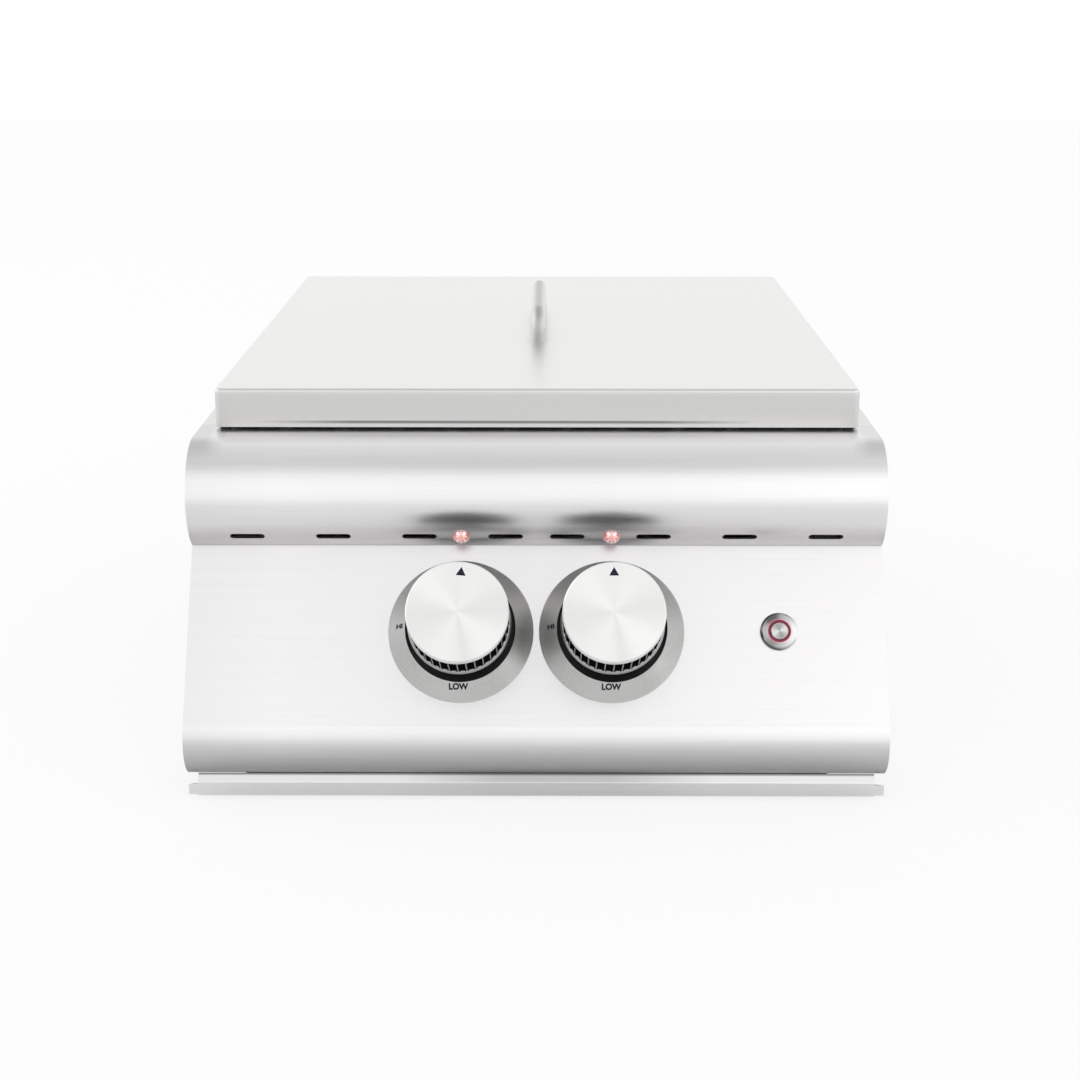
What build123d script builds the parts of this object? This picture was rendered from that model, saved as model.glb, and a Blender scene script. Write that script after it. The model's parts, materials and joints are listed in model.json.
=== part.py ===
from build123d import *
import os
from math import cos, radians, sin, sqrt

os.makedirs("parts", exist_ok=True)

# Sheet thicknesses and clearances
sheet = 1.5
thin_sheet = 1.2
play = 0.35
fit_gap = 0.05
slide_gap = 0.8

# Burner box, a well hung by its flanges in a counter cut-out
side_flange = 23.0
rear_flange = 29.0
well_depth = 461.5
well_y = 56.0
runner_inset = 36.0
runner_width = 12.0
runner_height = 0.6
ledge_drop = 10.0
ledge_width = 14.0
ledge_end_gap = 10.0

# Control panel, one folded sheet: flat top, bullnose, sloped face, lower roll
panel_width = 440.0
panel_gap = 0.93
top_ledge = 35.75
nose_radius = 36.0
nose_sweep = 146.0
slope_angle = 31.5
slope_length = 116.8
roll_radius = 25.0
return_flange = 18.0
firewall_flange = 14.0
end_flange = 14.0
end_screw_count = 3
end_screw_pitch = 60.0

# Vent slots and lamps in the underside of the bullnose
vent_count = 4
vent_first = 19.5
vent_pitch = 54.5
vent_length = 22.0
vent_height = 4.7
vent_turn = 127.0
lamp_radius = 5.2
lamp_rim = 1.0
lamp_dome = 3.0
lamp_barrel_radius = 3.8
lamp_barrel_length = 12.0
lamp_holder_radius = 6.5
lamp_holder_length = 5.0
lamp_holder_depth = 2.6

# Knobs and bezels, sizes across the slope and heights above it
knob_spacing = 95.0
knob_drop = 56.3
bezel_radius = 45.8
bezel_lip_radius = 34.6
bezel_height = 10.5
bezel_lip_depth = 1.5
bezel_hole_radius = 13.0
bezel_wall = 2.2
bezel_screw_offset = 18.0
knob_height = 55.0
knob_cap_radius = 31.4
knob_cap_edge = 0.8
knob_cap_skirt = 4.5
grip_radius = 30.3
grip_wall = 3.0
rib_count = 36
rib_width = 2.6
rib_height = 0.7
trim_radius = 32.3
trim_bottom = 22.5
trim_height = 3.0
trim_seat_radius = 28.0
hub_radius = 10.0
hub_bottom = 19.0

# Gas valves, depths below the slope along each knob's axis
knob_push = 4.0
stem_radius = 4.0
stem_flat = 1.2
stem_reach = 43.0
stem_hole_radius = 8.0
shoulder_radius = 5.8
shoulder_height = 2.2
collar_depth = 8.0
collar_height = 2.0
collar_radius = 7.5
spring_outer_radius = 6.6
spring_inner_radius = 5.0
spring_length = 10.0
bonnet_length = 16.0
bonnet_radius = 11.0
bonnet_flange = 4.0
plug_length = 24.0
plug_top_radius = 9.0
plug_bottom_radius = 7.5
plug_headroom = 1.0
tang_width = 7.0
tang_thickness = 2.4
tang_length = 14.0
valve_radius = 14.0
valve_floor = 4.0
port_radius = 8.0
gas_bore_radius = 3.0
outlet_length = 24.0

# Gas supply behind the panel
manifold_radius = 10.7
manifold_wall = 2.8
manifold_drop = 36.0
manifold_overhang = 30.0
inlet_gap = 4.5
inlet_block = 24.0
inlet_radius = 7.94
inlet_length = 18.0
inlet_bore_radius = 4.0
inlet_chamfer = 3.0

# Push button
button_x = 153.0
button_flange_radius = 12.0
button_flange_height = 2.6
button_flange_edge = 1.4
button_barrel_radius = 9.3
button_barrel_length = 24.0
button_cap_radius = 5.5
button_cap_height = 3.2
button_cap_length = 15.0
button_travel = 2.0
light_ring_radius = 7.2
light_ring_depth = 1.4
button_nut_width = 22.0
button_nut_height = 4.0

# Burners, venturis and igniter
outer_ring_radius = 102.0
inner_ring_radius = 52.0
ring_width = 30.0
ring_height = 30.0
ring_wall = 3.0
ring_edge = 4.0
ring_drop = 103.0
outer_port_count = 48
inner_port_count = 24
flame_port_radius = 2.0
orifice_radius = 4.5
orifice_length = 8.0
orifice_jet_radius = 1.0
mouth_gap = 5.0
mouth_radius = 17.0
mouth_length = 6.0
mouth_taper = 3.5
tube_radius = 14.0
riser_radius = 13.0
tube_end = 3.0
window_count = 3
window_radius = 4.2
window_ring = 11.0
mouth_hole_radius = 5.5
shutter_rim = 6.5
shutter_tab = 7.0
shutter_tab_width = 6.0
bar_width = 20.0
bar_thickness = 5.0
bar_offset = 60.0
inner_bolt_offset = 57.0
electrode_radius = 3.5
electrode_flange_radius = 6.0
electrode_flange = 2.0
electrode_below = 14.0
electrode_above = 36.0
spark_wire_radius = 1.0
spark_wire_rise = 6.0
spark_wire_reach = 16.0

# Drip tray and its guides
tray_inset = 9.5
tray_depth = 11.1
tray_back_gap = 2.7
tray_side_gap = 2.0
lip_advance = 13.8
lip_rise = 2.3
lip_slant = 4.6
tab_height = 7.0
guide_thickness = 3.7
guide_setback = 40.0
guide_lap = 12.0

# Cooking grate and wok ring
grate_margin = 6.0
frame_corner = 12.0
rod_radius = 4.0
weld_sink = 1.0
bars_per_side = 5
cross_rod_offset = 134.0
grate_ring_radius = 120.0
grate_ring_rod = 5.0
wok_wall = 2.5
wok_spigot_depth = 8.0
wok_flange_radius = 128.0
wok_top_radius = 116.0
wok_height = 16.0
finger_count = 4
finger_reach = 28.0
finger_thickness = 3.0
finger_height = 8.0
finger_turn = 45.0

# Lid
lid_inset = 11.3
lid_lap = 15.75
lid_height = 25.2
lid_corner = 4.0
lid_edge = 2.2
lid_hem = 10.0
pad_height = 2.0
pad_radius = 3.5
pad_inset = 6.0
handle_radius = 5.2
handle_rise = 19.0
handle_bend = 13.0
post_radius = 5.6
post_height = 2.5
post_spacing = 144.0

# Fasteners
screw_radius = 1.9
screw_head_radius = 3.5
screw_head = 2.2
screw_grip = 6.0
bolt_radius = 2.5
bolt_head_radius = 4.5
bolt_head = 3.0
bolt_grip = 10.0

# Places worked out from the sizes above
half_width = panel_width / 2
inner_half = half_width - sheet
well_half = half_width - side_flange - sheet
well_front = well_y - well_depth / 2
well_back = well_y + well_depth / 2
flange_back = well_back + sheet + rear_flange
firewall_front = well_front - sheet
tray_half = well_half - tray_inset
tray_floor = sheet + runner_height + play
tray_top = tray_floor + tray_depth
runner_x = tray_half - runner_inset
panel_bottom = tray_top + panel_gap
roll_rise = roll_radius * (1 + sin(radians(slope_angle)))
slope_rise = slope_length * cos(radians(slope_angle))
nose_rise = nose_radius * (1 - sin(radians(90 + nose_sweep)))
top_height = panel_bottom + roll_rise + slope_rise + nose_rise
ledge_height = top_height - ledge_drop
ring_base = top_height - ring_drop
nose_y = well_front - top_ledge
nose_z = top_height - nose_radius
crease_y = nose_y + nose_radius * cos(radians(90 + nose_sweep))
crease_z = nose_z + nose_radius * sin(radians(90 + nose_sweep))
slope_out = Vector(0, -cos(radians(slope_angle)), sin(radians(slope_angle)))
slope_down = Vector(0, -sin(radians(slope_angle)), -cos(radians(slope_angle)))
slope_start = Vector(0, crease_y, crease_z)
slope_end = slope_start + slope_down * slope_length
roll_centre = slope_end - slope_out * roll_radius
knob_x = knob_spacing / 2
knob_row = slope_start + slope_down * knob_drop
slope_plane = Plane(origin=knob_row, x_dir=(1, 0, 0), z_dir=slope_out)
bonnet_top = collar_depth + collar_height + spring_length
body_top = bonnet_top + bonnet_length
plug_top = body_top + plug_headroom
valve_centre = knob_row - slope_out * (plug_top + plug_length / 2)
manifold_z = valve_centre.Z - manifold_drop
outlet_y = valve_centre.Y + outlet_length
mouth_y = outlet_y + mouth_gap
inlet_x = inner_half - inlet_gap - inlet_block / 2
lip_y = roll_centre.Y - lip_advance
lid_bottom = top_height + pad_height
lid_top = lid_bottom + lid_height
lid_width = panel_width - 2 * lid_inset
lid_depth = well_depth + 2 * lid_lap
handle_z = lid_top + handle_rise
post_top = lid_top + post_height
front_post = well_y - post_spacing / 2
rear_post = well_y + post_spacing / 2
grate_z = ledge_height + play + rod_radius
grate_top_z = grate_z + 2 * rod_radius - weld_sink
end_screw_x = inner_half - end_flange / 2
end_screw_z = (top_height + panel_bottom) / 2
outer_bolt_x = sqrt(outer_ring_radius**2 - bar_offset**2)
electrode_ring = (inner_ring_radius + outer_ring_radius) / 2
electrode_x = sqrt(electrode_ring**2 - bar_offset**2)
electrode_y = well_y - bar_offset


def slab(x_range, y_range, z_range, mode=Mode.ADD):
    """Box between two corners, in the part being built."""
    spans = [x_range, y_range, z_range]
    middle = tuple((low + high) / 2 for low, high in spans)
    with Locations(middle):
        Box(*(high - low for low, high in spans), mode=mode)


def rod(start, end, radius, mode=Mode.ADD):
    """Round rod between two points, in the part being built."""
    run = Vector(*end) - Vector(*start)
    with BuildSketch(Plane(origin=start, z_dir=run)) as section:
        Circle(radius)
    extrude(section.sketch, amount=run.length, mode=mode)


def turned(origin, direction, points, mode=Mode.ADD):
    """Profile of radius and height turned about an axis, in the part being built."""
    across = Vector(1, 0, 0)
    profile_plane = Plane(origin=origin, x_dir=across, z_dir=across.cross(Vector(*direction)))
    with BuildSketch(profile_plane) as profile:
        with BuildLine():
            Polyline(*points, close=True)
        make_face()
    revolve(profile.sketch, axis=Axis(origin, direction), mode=mode)


def screw(origin, direction, radius, head_radius, head, grip):
    """Pan-head screw whose head sits on the origin and whose shank runs against the direction."""
    points = [(0, -grip), (radius, -grip), (radius, 0), (head_radius, 0), (head_radius, head), (0, head)]
    turned(origin, direction, points)


def slope_point(x, height):
    """Point over the knob row at a sideways place and a height above the sloped face."""
    return Vector(x, 0, 0) + knob_row + slope_out * height


def nose_plane(turn):
    """Plane on the bullnose, turned down from its top by an angle, facing outward."""
    facing = Vector(0, cos(radians(90 + turn)), sin(radians(90 + turn)))
    return Plane(origin=Vector(0, nose_y, nose_z) + facing * nose_radius, x_dir=(1, 0, 0), z_dir=facing)


def panel_outline():
    """Outer outline of the panel, from the rear of its top to the bottom of its roll."""
    Line((well_front, top_height), (nose_y, top_height))
    CenterArc((nose_y, nose_z), nose_radius, 90, nose_sweep)
    Line((crease_y, crease_z), (slope_end.Y, slope_end.Z))
    CenterArc((roll_centre.Y, roll_centre.Z), roll_radius, 180 - slope_angle, 90 + slope_angle)


# Control panel
with BuildPart() as control_panel:
    with BuildSketch(Plane.YZ):
        with BuildLine():
            panel_outline()
            Line((roll_centre.Y, panel_bottom), (roll_centre.Y + return_flange, panel_bottom))
            offset(amount=sheet, side=Side.LEFT)
        make_face()
    extrude(amount=inner_half, both=True)
    with BuildSketch(nose_plane(vent_turn)):
        for side in (-1, 1):
            for number in range(vent_count):
                with Locations((side * (vent_first + number * vent_pitch), 0)):
                    SlotOverall(vent_length, vent_height)
        with Locations((-knob_x, 0), (knob_x, 0)):
            Circle(lamp_barrel_radius + fit_gap)
    extrude(amount=2 * sheet, both=True, mode=Mode.SUBTRACT)
    with BuildSketch(slope_plane):
        for middle in (-knob_x, knob_x):
            with Locations((middle, 0)):
                Circle(stem_hole_radius)
            with Locations((middle - bezel_screw_offset, 0), (middle + bezel_screw_offset, 0)):
                Circle(screw_radius + fit_gap)
        with Locations((button_x, 0)):
            Circle(button_barrel_radius + fit_gap)
    extrude(amount=2 * sheet, both=True, mode=Mode.SUBTRACT)
control_panel.part.label = "control_panel"
export_step(control_panel.part, "parts/control_panel.step")

# End plates, each with a flange screwed to the firewall
end_screw_places = [end_screw_z + (number - (end_screw_count - 1) / 2) * end_screw_pitch
                    for number in range(end_screw_count)]
for side, name in ((-1, "panel_end_left"), (1, "panel_end_right")):
    with BuildPart() as panel_end:
        with BuildSketch(Plane.YZ.offset(side * inner_half)):
            with BuildLine():
                panel_outline()
                Polyline((roll_centre.Y, panel_bottom), (well_front, panel_bottom), (well_front, top_height))
            make_face()
        extrude(amount=side * sheet)
        flange_edges = sorted((side * (inner_half - end_flange), side * inner_half))
        slab(flange_edges, (firewall_front - sheet, firewall_front),
             (panel_bottom, top_height - 2 * sheet - play))
        for height in end_screw_places:
            hole_start = (side * end_screw_x, firewall_front - sheet, height)
            hole_end = (side * end_screw_x, firewall_front, height)
            rod(hole_start, hole_end, screw_radius + fit_gap, Mode.SUBTRACT)
    panel_end.part.label = name
    export_step(panel_end.part, f"parts/{name}.step")

# Firewall between the control bay and the well
with BuildPart() as firewall:
    slab((-inner_half, inner_half), (firewall_front, well_front), (0, top_height - sheet))
    slab((-inner_half, inner_half), (well_front - firewall_flange, well_front),
         (top_height - 2 * sheet, top_height - sheet))
    slot_half = tray_half + tray_side_gap
    slab((-slot_half, slot_half), (firewall_front, well_front), (0, tray_top + slide_gap), Mode.SUBTRACT)
    for side in (-1, 1):
        tube_start = (side * knob_x, firewall_front, valve_centre.Z)
        rod(tube_start, (side * knob_x, well_front, valve_centre.Z), tube_radius + fit_gap, Mode.SUBTRACT)
        for height in end_screw_places:
            hole_start = (side * end_screw_x, firewall_front, height)
            rod(hole_start, (side * end_screw_x, well_front, height), screw_radius + fit_gap, Mode.SUBTRACT)
firewall.part.label = "firewall"
export_step(firewall.part, "parts/firewall.step")

with BuildPart() as panel_screws:
    for side in (-1, 1):
        for height in end_screw_places:
            screw((side * end_screw_x, firewall_front - sheet, height), (0, -1, 0),
                  screw_radius, screw_head_radius, screw_head, screw_grip)
panel_screws.part.label = "panel_screws"
export_step(panel_screws.part, "parts/panel_screws.step")

# Burner box walls, folded outward into counter flanges
for side, name in ((-1, "box_left"), (1, "box_right")):
    with BuildPart() as box_wall:
        wall_edges = sorted((side * well_half, side * (well_half + sheet)))
        slab(wall_edges, (well_front, well_back + sheet), (0, top_height))
        flange_edges = sorted((side * well_half, side * half_width))
        slab(flange_edges, (well_front, flange_back), (top_height - sheet, top_height))
    box_wall.part.label = name
    export_step(box_wall.part, f"parts/{name}.step")

with BuildPart() as box_rear:
    slab((-well_half, well_half), (well_back, well_back + sheet), (0, top_height))
    slab((-well_half, well_half), (well_back, flange_back), (top_height - sheet, top_height))
box_rear.part.label = "box_rear"
export_step(box_rear.part, "parts/box_rear.step")

with BuildPart() as box_base:
    slab((-well_half, well_half), (well_front, well_back), (0, sheet))
    for middle in (-runner_x, runner_x):
        slab((middle - runner_width / 2, middle + runner_width / 2), (well_front, well_back),
             (sheet, sheet + runner_height))
box_base.part.label = "box_base"
export_step(box_base.part, "parts/box_base.step")

with BuildPart() as grate_ledges:
    ledge_run = (well_front + ledge_end_gap, well_back - ledge_end_gap)
    for side in (-1, 1):
        shelf_edges = sorted((side * (well_half - ledge_width), side * well_half))
        slab(shelf_edges, ledge_run, (ledge_height - sheet, ledge_height))
        leg_edges = sorted((side * (well_half - sheet), side * well_half))
        slab(leg_edges, ledge_run, (ledge_height - ledge_width, ledge_height))
grate_ledges.part.label = "grate_ledges"
export_step(grate_ledges.part, "parts/grate_ledges.step")

# Lamps in the bullnose
lamp_plane = nose_plane(vent_turn)
for side, name in ((-1, "left_lamp_lens"), (1, "right_lamp_lens")):
    with BuildPart() as lamp_lens:
        centre = lamp_plane.from_local_coords((side * knob_x, 0, 0))
        dome_reach = lamp_radius - lamp_rim
        turned(centre, lamp_plane.z_dir,
               [(0, -lamp_barrel_length), (lamp_barrel_radius, -lamp_barrel_length), (lamp_barrel_radius, 0),
                (lamp_radius, 0), (lamp_radius, lamp_rim), (dome_reach, lamp_rim + lamp_dome / 2),
                (dome_reach / 2, lamp_rim + lamp_dome), (0, lamp_rim + lamp_dome)])
    lamp_lens.part.label = name
    export_step(lamp_lens.part, f"parts/{name}.step")

with BuildPart() as lamp_holders:
    for side in (-1, 1):
        centre = lamp_plane.from_local_coords((side * knob_x, 0, -lamp_holder_depth))
        bore = lamp_barrel_radius + fit_gap
        turned(centre, lamp_plane.z_dir,
               [(bore, -lamp_holder_length), (lamp_holder_radius, -lamp_holder_length),
                (lamp_holder_radius, 0), (bore, 0)])
lamp_holders.part.label = "lamp_holders"
export_step(lamp_holders.part, "parts/lamp_holders.step")

# Bezels, conical collars round the knobs
for side, name in ((-1, "left_bezel"), (1, "right_bezel")):
    with BuildPart() as bezel:
        turned(slope_point(side * knob_x, 0), slope_out,
               [(bezel_hole_radius, 0), (bezel_radius, 0), (bezel_lip_radius, bezel_height),
                (bezel_lip_radius, bezel_height - bezel_lip_depth), (bezel_radius - bezel_wall, thin_sheet),
                (bezel_hole_radius, thin_sheet)])
        with BuildSketch(slope_plane):
            middle = side * knob_x
            with Locations((middle - bezel_screw_offset, 0), (middle + bezel_screw_offset, 0)):
                Circle(screw_radius + fit_gap)
        extrude(amount=thin_sheet, mode=Mode.SUBTRACT)
    bezel.part.label = name
    export_step(bezel.part, f"parts/{name}.step")

with BuildPart() as bezel_screws:
    for middle in (-knob_x, knob_x):
        for place in (middle - bezel_screw_offset, middle + bezel_screw_offset):
            screw(slope_point(place, thin_sheet), slope_out,
                  screw_radius, screw_head_radius, screw_head, screw_grip)
bezel_screws.part.label = "bezel_screws"
export_step(bezel_screws.part, "parts/bezel_screws.step")

# Knob and valve heights along each axis, above the sloped face
trim_top = trim_bottom + trim_height
cap_bottom = knob_height - knob_cap_skirt
cap_seat = knob_height - thin_sheet
cap_bore = grip_radius + fit_gap
trim_bore = trim_seat_radius + fit_gap
stem_end = collar_depth - play
tang_start = body_top - knob_push
plug_bottom = plug_top + plug_length

for side, hand in ((-1, "left"), (1, "right")):
    axis_x = side * knob_x
    axis_foot = slope_point(axis_x, 0)

    with BuildPart() as knob_cap:
        turned(axis_foot, slope_out,
               [(0, cap_seat), (cap_bore, cap_seat), (cap_bore, cap_bottom),
                (knob_cap_radius, cap_bottom), (knob_cap_radius, knob_height - knob_cap_edge),
                (knob_cap_radius - knob_cap_edge, knob_height), (0, knob_height)])
    knob_cap.part.label = f"{hand}_knob_cap"
    export_step(knob_cap.part, f"parts/{hand}_knob_cap.step")

    with BuildPart() as knob_grip:
        turned(axis_foot, slope_out,
               [(0, cap_seat), (grip_radius, cap_seat), (grip_radius, trim_top), (trim_seat_radius, trim_top),
                (trim_seat_radius, trim_bottom), (trim_seat_radius - grip_wall, trim_bottom),
                (trim_seat_radius - grip_wall, cap_seat - grip_wall), (hub_radius, cap_seat - grip_wall),
                (hub_radius, hub_bottom), (0, hub_bottom)])
        with BuildSketch(slope_plane.offset(trim_top)):
            with Locations((axis_x, 0)):
                with PolarLocations(grip_radius, rib_count):
                    Rectangle(2 * rib_height, rib_width)
        extrude(amount=cap_bottom - trim_top)
        with BuildSketch(slope_plane.offset(hub_bottom)):
            with Locations((axis_x, 0)):
                Circle(stem_radius + fit_gap)
            with Locations((axis_x, stem_radius + fit_gap)):
                Rectangle(2 * hub_radius, 2 * stem_flat, mode=Mode.SUBTRACT)
        extrude(amount=stem_reach - hub_bottom, mode=Mode.SUBTRACT)
    knob_grip.part.label = f"{hand}_knob_grip"
    export_step(knob_grip.part, f"parts/{hand}_knob_grip.step")

    with BuildPart() as knob_trim:
        turned(axis_foot, slope_out,
               [(trim_bore, trim_bottom), (trim_radius, trim_bottom), (trim_radius, trim_top),
                (trim_bore, trim_top)])
    knob_trim.part.label = f"{hand}_knob_trim"
    export_step(knob_trim.part, f"parts/{hand}_knob_trim.step")

    with BuildPart() as stem:
        turned(axis_foot, slope_out,
               [(0, -tang_start), (stem_radius, -tang_start), (stem_radius, -stem_end),
                (shoulder_radius, -stem_end), (shoulder_radius, shoulder_height - stem_end),
                (stem_radius, shoulder_height - stem_end), (stem_radius, stem_reach), (0, stem_reach)])
        with BuildSketch(slope_plane.offset(-tang_start)):
            with Locations((axis_x, 0)):
                Rectangle(tang_width, tang_thickness)
        extrude(amount=-tang_length)
        with BuildSketch(slope_plane.offset(hub_bottom)):
            with Locations((axis_x, stem_radius)):
                Rectangle(2 * hub_radius, 2 * stem_flat)
        extrude(amount=stem_reach - hub_bottom, mode=Mode.SUBTRACT)
    stem.part.label = f"{hand}_stem"
    export_step(stem.part, f"parts/{hand}_stem.step")

    with BuildPart() as collar:
        turned(axis_foot, slope_out,
               [(stem_radius + play, -collar_depth - collar_height),
                (collar_radius, -collar_depth - collar_height),
                (collar_radius, -collar_depth), (stem_radius + play, -collar_depth)])
    collar.part.label = f"{hand}_collar"
    export_step(collar.part, f"parts/{hand}_collar.step")

    with BuildPart() as spring:
        turned(axis_foot, slope_out,
               [(spring_inner_radius, -bonnet_top), (spring_outer_radius, -bonnet_top),
                (spring_outer_radius, -bonnet_top + spring_length),
                (spring_inner_radius, -bonnet_top + spring_length)])
    spring.part.label = f"{hand}_spring"
    export_step(spring.part, f"parts/{hand}_spring.step")

    with BuildPart() as plug:
        turned(axis_foot, slope_out,
               [(0, -plug_bottom), (plug_bottom_radius, -plug_bottom),
                (plug_top_radius, -plug_top), (0, -plug_top)])
        with BuildSketch(slope_plane.offset(-plug_top)):
            with Locations((axis_x, 0)):
                Rectangle(tang_width + 2 * play, tang_thickness + 2 * play)
        extrude(amount=-tang_length - play, mode=Mode.SUBTRACT)
    plug.part.label = f"{hand}_plug"
    export_step(plug.part, f"parts/{hand}_plug.step")

    with BuildPart() as valve_body:
        body_centre = valve_centre + Vector(axis_x, 0, 0)
        outlet_end = (axis_x, outlet_y, body_centre.Z)
        saddle = (axis_x, body_centre.Y, manifold_z)
        rod(slope_point(axis_x, -body_top), slope_point(axis_x, -plug_bottom - valve_floor), valve_radius)
        rod(body_centre, outlet_end, port_radius)
        rod(body_centre, saddle, port_radius)
        pipe_half = Vector(valve_radius, 0, 0)
        saddle_ends = (Vector(*saddle) - pipe_half, Vector(*saddle) + pipe_half)
        rod(*saddle_ends, manifold_radius + fit_gap, Mode.SUBTRACT)
        rod(body_centre, outlet_end, gas_bore_radius, Mode.SUBTRACT)
        rod(body_centre, saddle, gas_bore_radius, Mode.SUBTRACT)
        turned(axis_foot, slope_out,
               [(0, -plug_bottom - play), (plug_bottom_radius + play, -plug_bottom - play),
                (plug_top_radius + play, -body_top), (0, -body_top)], Mode.SUBTRACT)
    valve_body.part.label = f"{hand}_valve_body"
    export_step(valve_body.part, f"parts/{hand}_valve_body.step")

with BuildPart() as valve_bonnets:
    for side in (-1, 1):
        turned(slope_point(side * knob_x, 0), slope_out,
               [(stem_radius + play, -body_top), (valve_radius, -body_top),
                (valve_radius, bonnet_flange - body_top), (bonnet_radius, bonnet_flange - body_top),
                (bonnet_radius, -bonnet_top), (stem_radius + play, -bonnet_top)])
valve_bonnets.part.label = "valve_bonnets"
export_step(valve_bonnets.part, "parts/valve_bonnets.step")

with BuildPart() as burner_orifices:
    for side in (-1, 1):
        turned((side * knob_x, outlet_y, valve_centre.Z), (0, 1, 0),
               [(orifice_jet_radius, 0), (orifice_radius, 0), (orifice_radius, orifice_length),
                (orifice_jet_radius, orifice_length)])
burner_orifices.part.label = "burner_orifices"
export_step(burner_orifices.part, "parts/burner_orifices.step")

# Gas manifold, closed at its right end, and the inlet elbow at its left end
with BuildPart() as gas_manifold:
    pipe_start = Vector(-inlet_x + inlet_block / 2, valve_centre.Y, manifold_z)
    pipe_end = Vector(knob_x + manifold_overhang, valve_centre.Y, manifold_z)
    rod(pipe_start, pipe_end, manifold_radius)
    rod(pipe_start, pipe_end - Vector(manifold_wall, 0, 0), manifold_radius - manifold_wall, Mode.SUBTRACT)
    for middle in (-knob_x, knob_x):
        tap = Vector(middle, valve_centre.Y, manifold_z)
        rod(tap, tap + Vector(0, 0, 2 * manifold_radius), gas_bore_radius, Mode.SUBTRACT)
gas_manifold.part.label = "gas_manifold"
export_step(gas_manifold.part, "parts/gas_manifold.step")

with BuildPart() as gas_inlet:
    elbow = Vector(-inlet_x, valve_centre.Y, manifold_z)
    inlet_end = elbow - Vector(0, 0, inlet_block / 2 + inlet_length)
    with Locations(elbow):
        Box(inlet_block, inlet_block, inlet_block)
    chamfer(gas_inlet.edges().filter_by(Axis.Z), inlet_chamfer)
    rod(elbow, inlet_end, inlet_radius)
    rod(elbow, inlet_end, inlet_bore_radius, Mode.SUBTRACT)
    rod(elbow, elbow + Vector(inlet_block / 2, 0, 0), inlet_bore_radius, Mode.SUBTRACT)
gas_inlet.part.label = "gas_inlet"
export_step(gas_inlet.part, "parts/gas_inlet.step")

# Push button
button_foot = slope_point(button_x, 0)
cap_bore_radius = button_cap_radius + play
with BuildPart() as button_body:
    turned(button_foot, slope_out,
           [(0, -button_barrel_length), (button_barrel_radius, -button_barrel_length),
            (button_barrel_radius, 0), (button_flange_radius, 0),
            (button_flange_radius, button_flange_height - button_flange_edge),
            (button_flange_radius - button_flange_edge, button_flange_height), (0, button_flange_height)])
    bore_floor = button_cap_height - button_cap_length - button_travel - play
    rod(slope_point(button_x, bore_floor), slope_point(button_x, button_flange_height),
        cap_bore_radius, Mode.SUBTRACT)
    rod(slope_point(button_x, button_flange_height - light_ring_depth),
        slope_point(button_x, button_flange_height), light_ring_radius, Mode.SUBTRACT)
button_body.part.label = "button_body"
export_step(button_body.part, "parts/button_body.step")

with BuildPart() as button_light_ring:
    turned(button_foot, slope_out,
           [(cap_bore_radius, button_flange_height - light_ring_depth),
            (light_ring_radius, button_flange_height - light_ring_depth),
            (light_ring_radius, button_flange_height), (cap_bore_radius, button_flange_height)])
button_light_ring.part.label = "button_light_ring"
export_step(button_light_ring.part, "parts/button_light_ring.step")

with BuildPart() as button_cap:
    rod(slope_point(button_x, button_cap_height - button_cap_length),
        slope_point(button_x, button_cap_height), button_cap_radius)
    chamfer(button_cap.faces().sort_by(Axis(button_foot, slope_out))[-1].edges(), play)
button_cap.part.label = "button_cap"
export_step(button_cap.part, "parts/button_cap.step")

with BuildPart() as button_nut:
    with BuildSketch(slope_plane.offset(-sheet)):
        with Locations((button_x, 0)):
            RegularPolygon(button_nut_width / 2, 6, major_radius=False)
            Circle(button_barrel_radius + fit_gap, mode=Mode.SUBTRACT)
    extrude(amount=-button_nut_height)
button_nut.part.label = "button_nut"
export_step(button_nut.part, "parts/button_nut.step")


def riser_y(ring_radius):
    """Front-to-back place where a venturi meets the centreline of its ring burner."""
    return well_y - sqrt(max(ring_radius**2 - knob_x**2, 0))


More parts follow.
